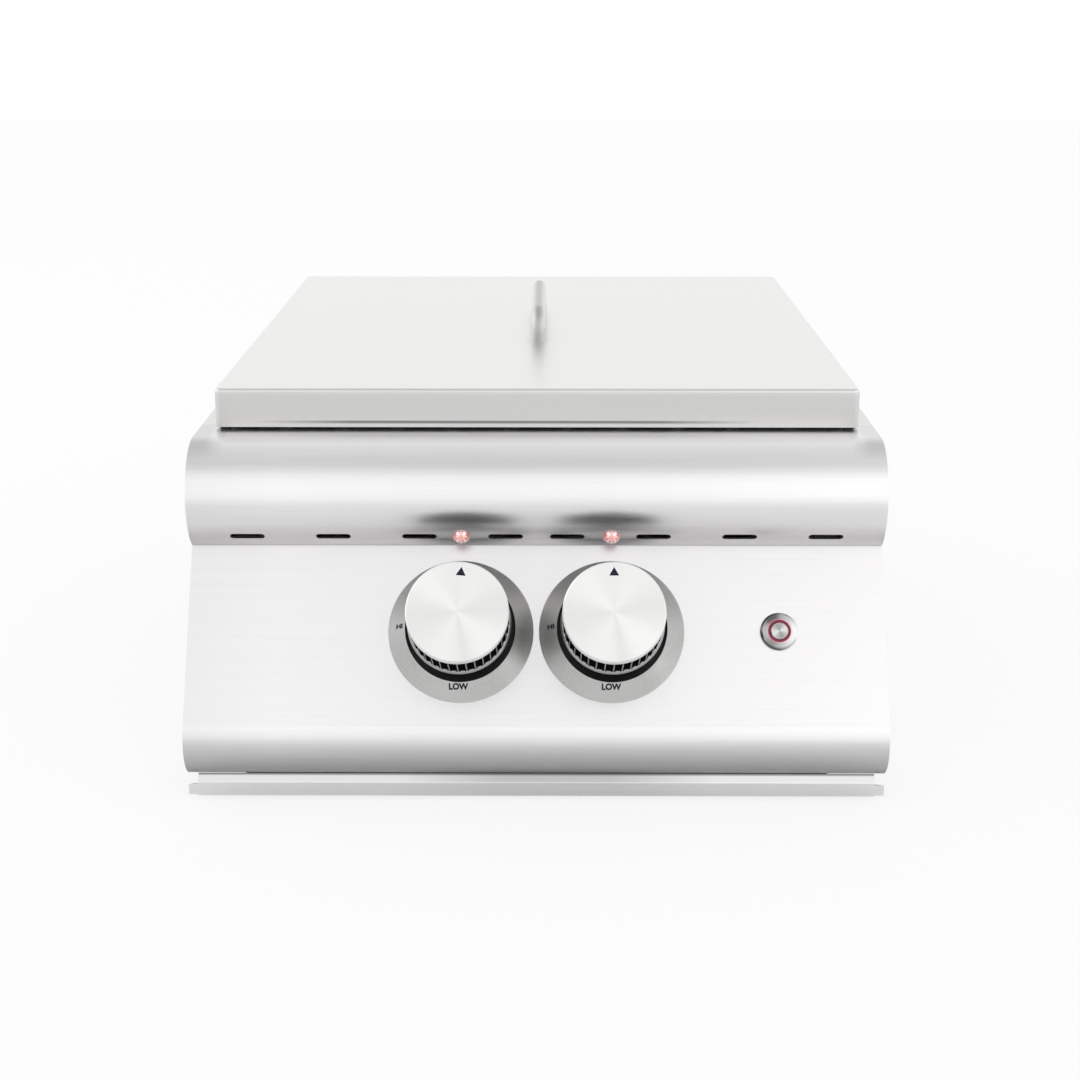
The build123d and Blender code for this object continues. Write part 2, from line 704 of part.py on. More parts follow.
# Ring burners, their venturis and air shutters
burners = (("outer", -1, outer_ring_radius, outer_port_count, (outer_bolt_x, bar_offset)),
           ("inner", 1, inner_ring_radius, inner_port_count, (0, inner_bolt_offset)))
for name, side, ring_radius, port_count, (bolt_x, bolt_y) in burners:
    axis_x = side * knob_x
    with BuildPart() as ring_burner:
        inner_edge = ring_radius - ring_width / 2
        outer_edge = ring_radius + ring_width / 2
        hub = (0, well_y, ring_base)
        turned(hub, (0, 0, 1),
               [(inner_edge, 0), (outer_edge, 0), (outer_edge, ring_height - ring_edge),
                (outer_edge - ring_edge, ring_height), (inner_edge + ring_edge, ring_height),
                (inner_edge, ring_height - ring_edge)])
        turned(hub, (0, 0, 1),
               [(inner_edge + ring_wall, ring_wall), (outer_edge - ring_wall, ring_wall),
                (outer_edge - ring_wall, ring_height - ring_edge - ring_wall),
                (outer_edge - ring_edge - ring_wall, ring_height - ring_wall),
                (inner_edge + ring_edge + ring_wall, ring_height - ring_wall),
                (inner_edge + ring_wall, ring_height - ring_edge - ring_wall)], Mode.SUBTRACT)
        with BuildSketch(Plane.XY.offset(ring_base + ring_height)):
            with Locations((0, well_y)):
                with PolarLocations(ring_radius, port_count):
                    Circle(flame_port_radius)
        extrude(amount=-2 * ring_wall, mode=Mode.SUBTRACT)
        with BuildSketch(Plane.XY.offset(ring_base)):
            with Locations((axis_x, riser_y(ring_radius))):
                Circle(riser_radius - thin_sheet)
            for mirror_x in sorted({-bolt_x, bolt_x}):
                with Locations((mirror_x, well_y - bolt_y), (mirror_x, well_y + bolt_y)):
                    Circle(bolt_radius + fit_gap)
        extrude(amount=ring_wall, mode=Mode.SUBTRACT)
    ring_burner.part.label = f"{name}_burner"
    export_step(ring_burner.part, f"parts/{name}_burner.step")

    with BuildPart() as venturi:
        mouth = (axis_x, mouth_y, valve_centre.Z)
        tube_length = riser_y(ring_radius) + riser_radius + tube_end - mouth_y
        taper_end = mouth_length + mouth_taper
        turned(mouth, (0, 1, 0),
               [(0, 0), (mouth_radius, 0), (mouth_radius, mouth_length), (tube_radius, taper_end),
                (tube_radius, tube_length), (0, tube_length)])
        riser_foot = Vector(axis_x, riser_y(ring_radius), valve_centre.Z)
        riser_head = Vector(axis_x, riser_y(ring_radius), ring_base)
        rod(riser_foot, riser_head, riser_radius)
        turned(mouth, (0, 1, 0),
               [(0, thin_sheet), (mouth_radius - thin_sheet, thin_sheet),
                (mouth_radius - thin_sheet, mouth_length), (tube_radius - thin_sheet, taper_end),
                (tube_radius - thin_sheet, tube_length - thin_sheet),
                (0, tube_length - thin_sheet)], Mode.SUBTRACT)
        rod(riser_foot, riser_head, riser_radius - thin_sheet, Mode.SUBTRACT)
        with BuildSketch(Plane(origin=mouth, x_dir=(1, 0, 0), z_dir=(0, 1, 0))):
            Circle(mouth_hole_radius)
            with PolarLocations(window_ring, window_count):
                Circle(window_radius)
        extrude(amount=thin_sheet, mode=Mode.SUBTRACT)
    venturi.part.label = f"{name}_venturi"
    export_step(venturi.part, f"parts/{name}_venturi.step")

    with BuildPart() as shutter:
        rim_radius = mouth_radius + play + thin_sheet
        disc_start = -play - thin_sheet
        turned(mouth, (0, 1, 0),
               [(mouth_hole_radius, disc_start), (rim_radius, disc_start), (rim_radius, shutter_rim - play),
                (mouth_radius + play, shutter_rim - play), (mouth_radius + play, -play),
                (mouth_hole_radius, -play)])
        with BuildSketch(Plane(origin=(axis_x, mouth_y + disc_start, valve_centre.Z), x_dir=(1, 0, 0),
                               z_dir=(0, 1, 0))):
            with PolarLocations(window_ring, window_count):
                Circle(window_radius)
        extrude(amount=thin_sheet, mode=Mode.SUBTRACT)
        slab((axis_x - shutter_tab_width / 2, axis_x + shutter_tab_width / 2),
             (mouth_y + disc_start, mouth_y - play),
             (valve_centre.Z + mouth_radius, valve_centre.Z + rim_radius + shutter_tab))
    shutter.part.label = f"{name}_shutter"
    export_step(shutter.part, f"parts/{name}_shutter.step")

# Cross bars carrying the burners, and their bolts
bolt_places = [(mirror_x, well_y + mirror_y) for mirror_y in (-bar_offset, bar_offset)
               for mirror_x in (-outer_bolt_x, outer_bolt_x)]
bolt_places += [(0, well_y - inner_bolt_offset), (0, well_y + inner_bolt_offset)]
with BuildPart() as burner_bars:
    for middle in (well_y - bar_offset, well_y + bar_offset):
        slab((-well_half, well_half), (middle - bar_width / 2, middle + bar_width / 2),
             (ring_base - bar_thickness, ring_base))
    with BuildSketch(Plane.XY.offset(ring_base)):
        with Locations(*bolt_places):
            Circle(bolt_radius + fit_gap)
        with Locations((electrode_x, electrode_y)):
            Circle(electrode_radius + fit_gap)
    extrude(amount=-bar_thickness, mode=Mode.SUBTRACT)
burner_bars.part.label = "burner_bars"
export_step(burner_bars.part, "parts/burner_bars.step")

with BuildPart() as burner_bolts:
    for place_x, place_y in bolt_places:
        screw((place_x, place_y, ring_base - bar_thickness), (0, 0, -1),
              bolt_radius, bolt_head_radius, bolt_head, bolt_grip)
burner_bolts.part.label = "burner_bolts"
export_step(burner_bolts.part, "parts/burner_bolts.step")

# Igniter: a ceramic electrode standing in the front bar, and its spark wire
with BuildPart() as igniter_electrode:
    turned((electrode_x, electrode_y, ring_base), (0, 0, 1),
           [(0, -electrode_below), (electrode_radius, -electrode_below), (electrode_radius, 0),
            (electrode_flange_radius, 0), (electrode_flange_radius, electrode_flange),
            (electrode_radius, electrode_flange), (electrode_radius, electrode_above), (0, electrode_above)])
igniter_electrode.part.label = "igniter_electrode"
export_step(igniter_electrode.part, "parts/igniter_electrode.step")

with BuildPart() as igniter_wire:
    wire_foot = Vector(electrode_x, electrode_y, ring_base + electrode_above)
    wire_bend = wire_foot + Vector(0, 0, spark_wire_rise)
    inward = Vector(-electrode_x, bar_offset, 0).normalized()
    rod(wire_foot, wire_bend, spark_wire_radius)
    rod(wire_bend, wire_bend + inward * spark_wire_reach, spark_wire_radius)
    with Locations(wire_bend):
        Sphere(spark_wire_radius)
igniter_wire.part.label = "igniter_wire"
export_step(igniter_wire.part, "parts/igniter_wire.step")

# Drip tray: a pan whose slanted front lip, with a tab at each end, shows under the panel
with BuildPart() as drip_tray:
    tray_back = well_back - tray_back_gap
    lip_half = inner_half - guide_thickness - slide_gap
    lip_top = tray_top + lip_rise
    lip_bend = lip_top - lip_slant
    slab((-tray_half, tray_half), (lip_y, tray_back), (tray_floor, tray_floor + thin_sheet))
    slab((-half_width, half_width), (lip_y + thin_sheet, lip_y + 2 * thin_sheet),
         (tray_floor, tray_floor + tab_height))
    slab((-tray_half, tray_half), (tray_back - thin_sheet, tray_back), (tray_floor, tray_top))
    for side in (-1, 1):
        wall_edges = sorted((side * (tray_half - thin_sheet), side * tray_half))
        slab(wall_edges, (lip_y, tray_back), (tray_floor, lip_bend))
    with BuildSketch(Plane.YZ):
        with BuildLine():
            Polyline((lip_y, tray_floor), (lip_y, lip_bend), (lip_y + lip_slant, lip_top))
            offset(amount=thin_sheet, side=Side.RIGHT)
        make_face()
    extrude(amount=lip_half, both=True)
drip_tray.part.label = "drip_tray"
export_step(drip_tray.part, "parts/drip_tray.step")

# Guide rails at the sides of the tray's bay, fixed to the end plates
guide_back = firewall_front - sheet - slide_gap
guide_front = roll_centre.Y + guide_setback
with BuildPart() as tray_guides:
    for side in (-1, 1):
        guide_edges = sorted((side * (inner_half - guide_thickness), side * inner_half))
        slab(guide_edges, (guide_front, guide_back), (tray_floor, panel_bottom + guide_lap))
tray_guides.part.label = "tray_guides"
export_step(tray_guides.part, "parts/tray_guides.step")

# Cooking grate of welded round rod: a bent frame, cross rods, top bars and a middle ring
with BuildPart() as cooking_grate:
    side_x = well_half - grate_margin - rod_radius
    reach_y = well_depth / 2 - grate_margin - rod_radius
    bar_pitch = side_x / bars_per_side
    with BuildLine(Plane.XY.offset(grate_z)):
        frame_corners = [(side_x, well_y + reach_y), (-side_x, well_y + reach_y), (-side_x, well_y - reach_y),
                         (side_x, well_y - reach_y)]
        FilletPolyline(*frame_corners, radius=frame_corner, close=True)
    with BuildSketch(Plane(origin=(0, well_y + reach_y, grate_z), z_dir=(1, 0, 0))):
        Circle(rod_radius)
    sweep()
    for rail_y in (well_y - cross_rod_offset, well_y + cross_rod_offset):
        rod((-side_x, rail_y, grate_z), (side_x, rail_y, grate_z), rod_radius - fit_gap)
    for number in range(bars_per_side):
        for side in (-1, 1):
            bar_x = side * (number + 1 / 2) * bar_pitch
            half_gap = sqrt(max(grate_ring_radius**2 - bar_x**2, 0))
            rod((bar_x, well_y - reach_y, grate_top_z), (bar_x, well_y - half_gap, grate_top_z), rod_radius)
            rod((bar_x, well_y + half_gap, grate_top_z), (bar_x, well_y + reach_y, grate_top_z), rod_radius)
    with Locations((0, well_y, grate_top_z)):
        Torus(grate_ring_radius, grate_ring_rod)
cooking_grate.part.label = "cooking_grate"
export_step(cooking_grate.part, "parts/cooking_grate.step")

# Wok ring: spigot inside the grate's ring, flange on it, conical band and pot fingers
wok_seat = grate_top_z + grate_ring_rod + play
spigot_radius = grate_ring_radius - grate_ring_rod - play
with BuildPart() as wok_ring:
    turned((0, well_y, wok_seat), (0, 0, 1),
           [(spigot_radius - wok_wall, -wok_spigot_depth), (spigot_radius, -wok_spigot_depth),
            (spigot_radius, 0), (wok_flange_radius, 0), (wok_flange_radius, wok_wall),
            (wok_top_radius, wok_height),
            (wok_top_radius - wok_wall, wok_height), (wok_flange_radius - 2 * wok_wall, wok_wall),
            (spigot_radius - wok_wall, wok_wall)])
    with Locations((0, well_y, wok_seat + wok_wall - finger_height / 2)):
        with PolarLocations(spigot_radius - finger_reach / 2, finger_count, start_angle=finger_turn):
            Box(finger_reach, finger_thickness, finger_height)
wok_ring.part.label = "wok_ring"
export_step(wok_ring.part, "parts/wok_ring.step")

# Lid: a folded pan with an inward hem, standing on pads
post_places = [(0, front_post), (0, rear_post)]
with BuildPart() as lid_shell:
    with BuildSketch(Plane.XY.offset(lid_bottom)):
        with Locations((0, well_y)):
            RectangleRounded(lid_width, lid_depth, lid_corner)
    extrude(amount=lid_height)
    fillet(lid_shell.edges().group_by(Axis.Z)[-1], lid_edge)
    with BuildSketch(Plane.XY.offset(lid_bottom + thin_sheet)):
        with Locations((0, well_y)):
            RectangleRounded(lid_width - 2 * thin_sheet, lid_depth - 2 * thin_sheet, lid_corner - thin_sheet)
    extrude(amount=lid_height - 2 * thin_sheet, mode=Mode.SUBTRACT)
    with BuildSketch(Plane.XY.offset(lid_bottom)):
        with Locations((0, well_y)):
            Rectangle(lid_width - 2 * lid_hem, lid_depth - 2 * lid_hem)
    extrude(amount=thin_sheet, mode=Mode.SUBTRACT)
    with BuildSketch(Plane.XY.offset(lid_top)):
        with Locations(*post_places):
            Circle(bolt_radius + fit_gap)
    extrude(amount=-thin_sheet, mode=Mode.SUBTRACT)
lid_shell.part.label = "lid_shell"
export_step(lid_shell.part, "parts/lid_shell.step")

# Handle: a round bar bent down at both ends onto its feet, bolted from inside the lid
with BuildPart() as lid_handle:
    with BuildLine(Plane.YZ) as handle_line:
        Polyline((front_post, post_top), (front_post, handle_z), (rear_post, handle_z), (rear_post, post_top))
        fillet(handle_line.vertices().group_by(Axis.Z)[-1], handle_bend)
    with BuildSketch(Plane.XY.offset(post_top)):
        with Locations((0, front_post)):
            Circle(handle_radius)
    sweep()
    for place in post_places:
        rod((*place, post_top), (*place, lid_top + bolt_grip), bolt_radius + fit_gap, Mode.SUBTRACT)
lid_handle.part.label = "lid_handle"
export_step(lid_handle.part, "parts/lid_handle.step")

with BuildPart() as lid_posts:
    for place in post_places:
        rod((*place, lid_top), (*place, post_top), post_radius)
        rod((*place, lid_top), (*place, post_top), bolt_radius + fit_gap, Mode.SUBTRACT)
lid_posts.part.label = "lid_posts"
export_step(lid_posts.part, "parts/lid_posts.step")

with BuildPart() as lid_bolts:
    for place in post_places:
        screw((*place, lid_top - thin_sheet), (0, 0, -1), bolt_radius, bolt_head_radius, bolt_head, bolt_grip)
lid_bolts.part.label = "lid_bolts"
export_step(lid_bolts.part, "parts/lid_bolts.step")

with BuildPart() as lid_pads:
    with BuildSketch(Plane.XY.offset(top_height)):
        with Locations((0, well_y)):
            with GridLocations(lid_width - 2 * pad_inset, lid_depth - 2 * pad_inset, 2, 2):
                Circle(pad_radius)
    extrude(amount=pad_height)
lid_pads.part.label = "lid_pads"
export_step(lid_pads.part, "parts/lid_pads.step")
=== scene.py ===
import json
from math import cos, pi, radians, sin

import bpy
import numpy as np
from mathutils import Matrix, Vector


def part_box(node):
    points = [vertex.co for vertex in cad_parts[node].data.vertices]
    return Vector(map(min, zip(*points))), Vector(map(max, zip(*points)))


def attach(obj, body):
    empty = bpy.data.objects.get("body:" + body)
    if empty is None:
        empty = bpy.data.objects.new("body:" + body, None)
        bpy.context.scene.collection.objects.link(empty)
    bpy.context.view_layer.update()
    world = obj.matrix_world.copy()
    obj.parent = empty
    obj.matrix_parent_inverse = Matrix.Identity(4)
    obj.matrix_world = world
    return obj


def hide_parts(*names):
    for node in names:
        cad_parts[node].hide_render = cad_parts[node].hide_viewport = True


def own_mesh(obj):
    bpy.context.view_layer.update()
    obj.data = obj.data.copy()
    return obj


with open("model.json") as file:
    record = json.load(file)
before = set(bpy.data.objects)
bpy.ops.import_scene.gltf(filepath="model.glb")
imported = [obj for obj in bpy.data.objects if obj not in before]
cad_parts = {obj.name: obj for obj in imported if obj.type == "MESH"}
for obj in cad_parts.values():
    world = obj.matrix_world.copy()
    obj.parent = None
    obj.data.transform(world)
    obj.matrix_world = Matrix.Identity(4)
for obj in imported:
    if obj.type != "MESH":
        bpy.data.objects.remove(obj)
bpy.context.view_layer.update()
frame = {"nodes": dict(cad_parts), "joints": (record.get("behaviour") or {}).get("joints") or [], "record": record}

# Places from the frame, in metres
joints = {row["name"]: row for row in frame["joints"]}
ACROSS = np.array([1.0, 0.0, 0.0])
SLOPE_OUT = np.array(joints["left_knob_turn"]["axis"])
SLOPE_UP = np.cross(SLOPE_OUT, ACROSS)
SLOPE_TURN = float(np.arctan2(-SLOPE_OUT[1], SLOPE_OUT[2]))
knob_centres = {hand: np.array(joints[f"{hand}_knob_turn"]["pos_m"]) for hand in ("left", "right")}
button_low, button_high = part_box("button_body")
button_centre = knob_centres["right"] * (0.0, 1.0, 1.0) + ACROSS * (button_low[0] + button_high[0]) / 2
panel_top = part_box("control_panel")[1][2]
lid_low, lid_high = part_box("lid_shell")
lip_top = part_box("drip_tray")[1][2]

# Sizes and turns repeated from the part's source, in metres and radians
KNOB_HEIGHT = 0.055
BEZEL_RADIUS = 0.0458
BEZEL_LIP_RADIUS = 0.0346
BEZEL_HEIGHT = 0.0105
BEZEL_FALL = BEZEL_HEIGHT / (BEZEL_RADIUS - BEZEL_LIP_RADIUS)
GRIP_RADIUS = 0.0303
RIB_HEIGHT = 0.0007
RIB_COUNT = 36.0
TRIM_RADIUS = 0.0323
TRIM_FOOT = 0.0225
TRIM_HEIGHT = 0.003
NOSE_Y = -0.2105
NOSE_RADIUS = 0.036
NOSE_END = radians(56.0)
LAMP_TURN = radians(127.0)
LAMP_RADIUS = 0.0052
LAMP_RIM = 0.001
LAMP_DOME = 0.003
LAMP_BARREL_RADIUS = 0.0038
LAMP_BARREL_LENGTH = 0.012
SPRING_DEPTH = 0.020
SPRING_LENGTH = 0.010
SPRING_RADIUS = 0.0058
LIGHT_RING_INNER = 0.00585
LIGHT_RING_OUTER = 0.0072
BUTTON_RADIUS = 0.012
LIP_SLANT = 0.0046
HANDLE_RADIUS = 0.0052

MM = 1000.0
NOISE_SPREAD = (0.3, 0.7)


class Socket:
    """An output of a node that does sums: each operator adds a Math node to the same board."""

    def __init__(self, board, output):
        self.board = board
        self.output = output

    def __add__(self, other):
        return self.board.sum("ADD", self, other)

    def __radd__(self, other):
        return self.board.sum("ADD", other, self)

    def __sub__(self, other):
        return self.board.sum("SUBTRACT", self, other)

    def __rsub__(self, other):
        return self.board.sum("SUBTRACT", other, self)

    def __mul__(self, other):
        return self.board.sum("MULTIPLY", self, other)

    def __rmul__(self, other):
        return self.board.sum("MULTIPLY", other, self)

    def __pow__(self, other):
        return self.board.sum("POWER", self, other)

    def __rpow__(self, other):
        return self.board.sum("POWER", other, self)

    def __abs__(self):
        return self.board.sum("ABSOLUTE", self, 0.0)


class Board:
    """A tree of shader nodes, grown by sums and by one method for every other node."""

    def __init__(self, tree):
        self.tree = tree

    def feed(self, node, sockets):
        for key, value in sockets.items():
            if isinstance(value, Socket):
                self.tree.links.new(value.output, node.inputs[key])
            else:
                node.inputs[key].default_value = value

    def add(self, kind, settings, sockets, output=0):
        """Any node: its settings first, then the values or links of its sockets."""
        node = self.tree.nodes.new("ShaderNode" + kind)
        for key, value in settings.items():
            if key == "stops":
                for _ in range(len(value) - len(node.color_ramp.elements)):
                    node.color_ramp.elements.new(1.0)
                for stop, (place, level) in zip(node.color_ramp.elements, value):
                    stop.position = place
                    stop.color = (level, level, level, 1.0)
            else:
                setattr(node, key, value)
        self.feed(node, sockets)
        return Socket(self, node.outputs[output]) if node.outputs else node

    def sum(self, operation, first, second):
        return self.add("Math", {"operation": operation}, {0: first, 1: second})

    def part(self, vector, axis):
        return self.add("SeparateXYZ", {}, {0: vector}, axis)

    def ramp(self, value, low, high, start=0.0, end=1.0):
        """Straight line from low at start to high at end, held level outside."""
        return self.add("MapRange", {}, {"Value": value, "From Min": start, "From Max": end,
                                         "To Min": low, "To Max": high})

    def rise(self, value, start, end):
        """Level that goes from nought at start to one at end."""
        return self.ramp(value, 0.0, 1.0, start, end)

    def fall(self, value, start, end):
        """Level that goes from one at start to nought at end."""
        return self.ramp(value, 1.0, 0.0, start, end)

    def blend(self, factor, first, second, kind="MIX"):
        """Colour between two colours, or between the first one and its product with the second."""
        first, second = ((*colour, 1.0) if isinstance(colour, tuple) else colour
                         for colour in (first, second))
        return self.add("Mix", {"data_type": "RGBA", "blend_type": kind}, {0: factor, 6: first, 7: second}, 2)


class Finish(Board):
    """One material: a Principled shader and the nodes that feed it."""

    def __init__(self, name, **constants):
        self.material = bpy.data.materials.new(name)
        self.material.use_nodes = True
        super().__init__(self.material.node_tree)
        self.shader = self.tree.nodes["Principled BSDF"]
        self.wear(**constants)

    def wear(self, **sockets):
        self.feed(self.shader, {key.replace("_", " "): value for key, value in sockets.items()})
        return self.material

    def place(self, centre=(0.0, 0.0, 0.0), turn=0.0, stretch=(1.0, 1.0, 1.0)):
        """Object coordinates seen from a centre, turned about the X axis and then stretched."""
        here = self.add("TexCoord", {}, {}, "Object")
        local = self.add("Mapping", {"vector_type": "TEXTURE"},
                         {"Vector": here, "Location": tuple(centre), "Rotation": (turn, 0.0, 0.0)})
        return self.add("VectorMath", {"operation": "MULTIPLY"}, {0: local, 1: tuple(stretch)})

    def side_and_height(self):
        """Distances across and up from the object's origin, in metres."""
        return self.part(self.place(), "X"), self.part(self.place(), "Z")

    def local(self, centre, turn):
        """Sideways, upward and outward distances from a centre, in millimetres."""
        spot = self.place(centre, turn, (MM, MM, MM))
        return self.part(spot, "X"), self.part(spot, "Y"), self.part(spot, "Z")

    def polar(self, centre):
        """Radius, angle and height about an axis square to the slope, in millimetres and radians."""
        side, rise, height = self.local(centre, SLOPE_TURN)
        radius = (side * side + rise * rise) ** 0.5
        return radius, self.sum("ARCTAN2", rise, side), height

    def lobe(self, angle, direction, power):
        """A soft wedge: the cosine of the angle from a direction, cut at nought and raised to a power."""
        aim = self.sum("COSINE", angle - radians(direction), 0.0)
        return self.sum("MAXIMUM", aim, 0.0) ** power

    def noise(self, vector, scale=1.0, detail=2.0, rough=0.5):
        return self.add("TexNoise", {}, {"Vector": vector, "Scale": scale, "Detail": detail,
                                         "Roughness": rough})

    def spread(self, noise, low, high):
        """Straight line from low to high over the values that a noise mostly takes."""
        return self.ramp(noise, low, high, *NOISE_SPREAD)

    def bump(self, height, strength, distance, **under):
        return self.add("Bump", {}, {"Strength": strength, "Distance": distance, "Height": height, **under},
                        "Normal")

    def tinted(self, level, colour, low, high):
        """A colour that goes from a low to a high share of itself as a level rises."""
        return self.blend(level, shade(colour, low), shade(colour, high))

    def darken(self, colour, where, share):
        """A colour that falls to a share of itself where a level is one."""
        return self.blend(where, colour, (share, share, share), "MULTIPLY")


def shade(colour, share):
    """A colour made lighter or darker by a share."""
    return tuple(min(1.0, channel * share) for channel in colour)


# Brushed sheet: noise cells to a metre, weights of its tones, swings of its colour and roughness, and the
# strength of its scratches with their depth in metres
WIDE_GRAIN = (9.0, 1900.0, 1900.0)
DEEP_GRAIN = (1900.0, 12.0, 1900.0)
CLOUD_SCALE = 7.0
SCRATCH_WEIGHT = 0.45
DRIFT_WEIGHT = 0.35
CLOUD_WEIGHT = 0.2
SHEET_TINTS = (0.94, 1.05)
SHEET_ROUGH = (-0.04, 0.05)
SCRATCH_BUMP = (0.12, 0.00006)


def brushed_steel(name, colour, rough, grain=WIDE_GRAIN, painted_light=None, lean=None):
    """Sheet steel: long fine scratches along one axis, a slow drift of tone over the sheet and faint cloudy
    patches. Each row that the painted light function gives says where shade or highlight is painted into the
    colour, and by what share. A lean shades a slant between two heights as if it were steeper."""
    finish = Finish(name, Metallic=1.0)
    scratch = finish.noise(finish.place(stretch=grain), detail=3.0, rough=0.6)
    drift = finish.noise(finish.place())
    cloud = finish.noise(finish.place(), CLOUD_SCALE)
    tone = (finish.spread(scratch, 0.0, SCRATCH_WEIGHT) + finish.spread(drift, 0.0, DRIFT_WEIGHT)
            + cloud * CLOUD_WEIGHT)
    paint = finish.tinted(tone, colour, *SHEET_TINTS)
    # Painted shade and highlight: each row scales the colour by its share
    for where, share in painted_light(finish) if painted_light else ():
        paint = finish.darken(paint, where, share)
    normal = finish.bump(scratch, *SCRATCH_BUMP)
    if lean:
        foot, top, reach = lean
        slant = finish.rise(finish.part(finish.place(), "Z"), foot, top)
        normal = finish.bump(slant, 1.0, reach, Normal=normal)
    return finish.wear(Base_Color=paint, Roughness=finish.ramp(tone, *(rough + step for step in SHEET_ROUGH)),
                       Normal=normal)


# Painted shade and highlight on the panel: heights or steps in metres between which each row fades, and the share
# that it leaves
ROLL_SHADE_ROWS = ((0.017, 0.042, 0.55), (0.045, 0.051, 0.89), (0.015, 0.0195, 0.75))
NOSE_FADE = 0.017
CREASE_WIDTH = 0.0004
NOSE_SHADE_SHARE = 0.67
LID_SIDE_STEPS = (-0.010, 0.002)
PAST_LID_STEPS = (-0.009, -0.0015)
PAST_LID_SHADE_SHARE = 0.70
BEFORE_LID_STEPS = (-0.0035, -0.0005)
BEFORE_LID_HIGHLIGHT_SHARE = 1.05
LEFT_END = (-0.215, -0.165)
LEFT_END_SHADE_SHARE = 0.95


def panel_painted_light(finish):
    """Painted shade on the panel: darker down its roll, under its nose, at its left end and where its top runs
    past the lid, with a painted highlight along the top before the lid."""
    side, height = finish.side_and_height()
    rolled = [(finish.fall(height, full, clear), share) for full, clear, share in ROLL_SHADE_ROWS]
    crease = panel_top - NOSE_RADIUS * (1.0 + sin(NOSE_END))
    under_nose = (finish.fall(height, crease, crease + NOSE_FADE)
                  * finish.rise(height, crease - CREASE_WIDTH, crease))
    outside = finish.rise(abs(side), *(lid_high[0] + step for step in LID_SIDE_STEPS))
    past_lid = outside * finish.rise(height, *(panel_top + step for step in PAST_LID_STEPS))
    before_lid = (1.0 - outside) * finish.rise(height, *(panel_top + step for step in BEFORE_LID_STEPS))
    left_end = finish.fall(side, *LEFT_END)
    return (*rolled, (under_nose, NOSE_SHADE_SHARE), (past_lid, PAST_LID_SHADE_SHARE), (before_lid, BEFORE_LID_HIGHLIGHT_SHARE),
            (left_end, LEFT_END_SHADE_SHARE))


# Painted shade on the lid, in metres, and the shares that it leaves
SKIRT_DROP = 0.003
SKIRT_FADE = 0.0015
SKIRT_SHADE_SHARE = 0.94
HEM_HEIGHT = 0.0034
HEM_WIDTHS = (0.0003, 0.0014)
HEM_MIDDLE = -0.02
HEM_REACHES = (0.10, 0.165)
HEM_SHADOW_SHARE = 0.34


def lid_painted_shade(finish):
    """Painted shade on the lid: darker below its top edge, and a painted shadow line along its hem that fades
    out along the front."""
    side, height = finish.side_and_height()
    skirt_top = lid_high[2] - SKIRT_DROP
    skirt = finish.fall(height, skirt_top - SKIRT_FADE, skirt_top)
    hem = (finish.fall(abs(height - (lid_low[2] + HEM_HEIGHT)), *HEM_WIDTHS)
           * finish.fall(abs(side - HEM_MIDDLE), *HEM_REACHES))
    return (skirt, SKIRT_SHADE_SHARE), (hem, HEM_SHADOW_SHARE)


# Painted shade on the tray's front, in metres, and the shares that it leaves
LIP_FOOT = lip_top - LIP_SLANT
LIP_FADE = 0.0006
LIP_SHADE_SHARE = 0.84
LIP_LEAN = 0.0033
FRONT_MIDDLE = 0.012
FRONT_REACHES = (0.035, 0.10)
FRONT_SHADE_SHARE = 0.90
LIP_MIDDLE_SHADE_SHARE = 0.76
LIP_EDGE_STEPS = (-0.0013, -0.0005)
LIP_EDGE_SHADOW_SHARE = 0.30


def tray_painted_shade(finish):
    """Painted shade on the tray: its front darker in the middle, its slanted lip darker than its front and most
    in the middle, and a painted shadow line along its top edge."""
    side, height = finish.side_and_height()
    lip = finish.rise(height, LIP_FOOT, LIP_FOOT + LIP_FADE)
    middle = finish.fall(abs(side - FRONT_MIDDLE), *FRONT_REACHES)
    edge = finish.rise(height, *(lip_top + step for step in LIP_EDGE_STEPS))
    return ((middle, FRONT_SHADE_SHARE), (lip, LIP_SHADE_SHARE), (lip * middle, LIP_MIDDLE_SHADE_SHARE),
            (edge, LIP_EDGE_SHADOW_SHARE))


# Handle's bar: half width of its crown in metres, colours of its painted reflection, swing of its tone, roughness
# and bump
BAR_CROWN_HALF = 0.001
BAR_CROWN_REFLECTION_COLOUR = (0.50, 0.495, 0.49)
BAR_SIDE_REFLECTION_COLOUR = (0.74, 0.74, 0.73)
BAR_SWING = 0.08
BAR_ROUGH = (0.40, 0.50)
BAR_BUMP = (0.1, 0.00005)


def bar_steel(name):
    """Round bar with a painted reflection, darker along its crown and brighter down its sides, with a fine
    lengthways grain.
    """
    finish = Finish(name, Metallic=1.0)
    grain = finish.noise(finish.place(stretch=DEEP_GRAIN), detail=3.0)
    side = abs(finish.part(finish.place(), "X")) * MM
    tone = (finish.rise(side, BAR_CROWN_HALF * MM, HANDLE_RADIUS * MM)
            + finish.spread(grain, -BAR_SWING, BAR_SWING))
    return finish.wear(Base_Color=finish.blend(tone, BAR_CROWN_REFLECTION_COLOUR, BAR_SIDE_REFLECTION_COLOUR),
                       Roughness=finish.spread(grain, *BAR_ROUGH), Normal=finish.bump(grain, *BAR_BUMP))


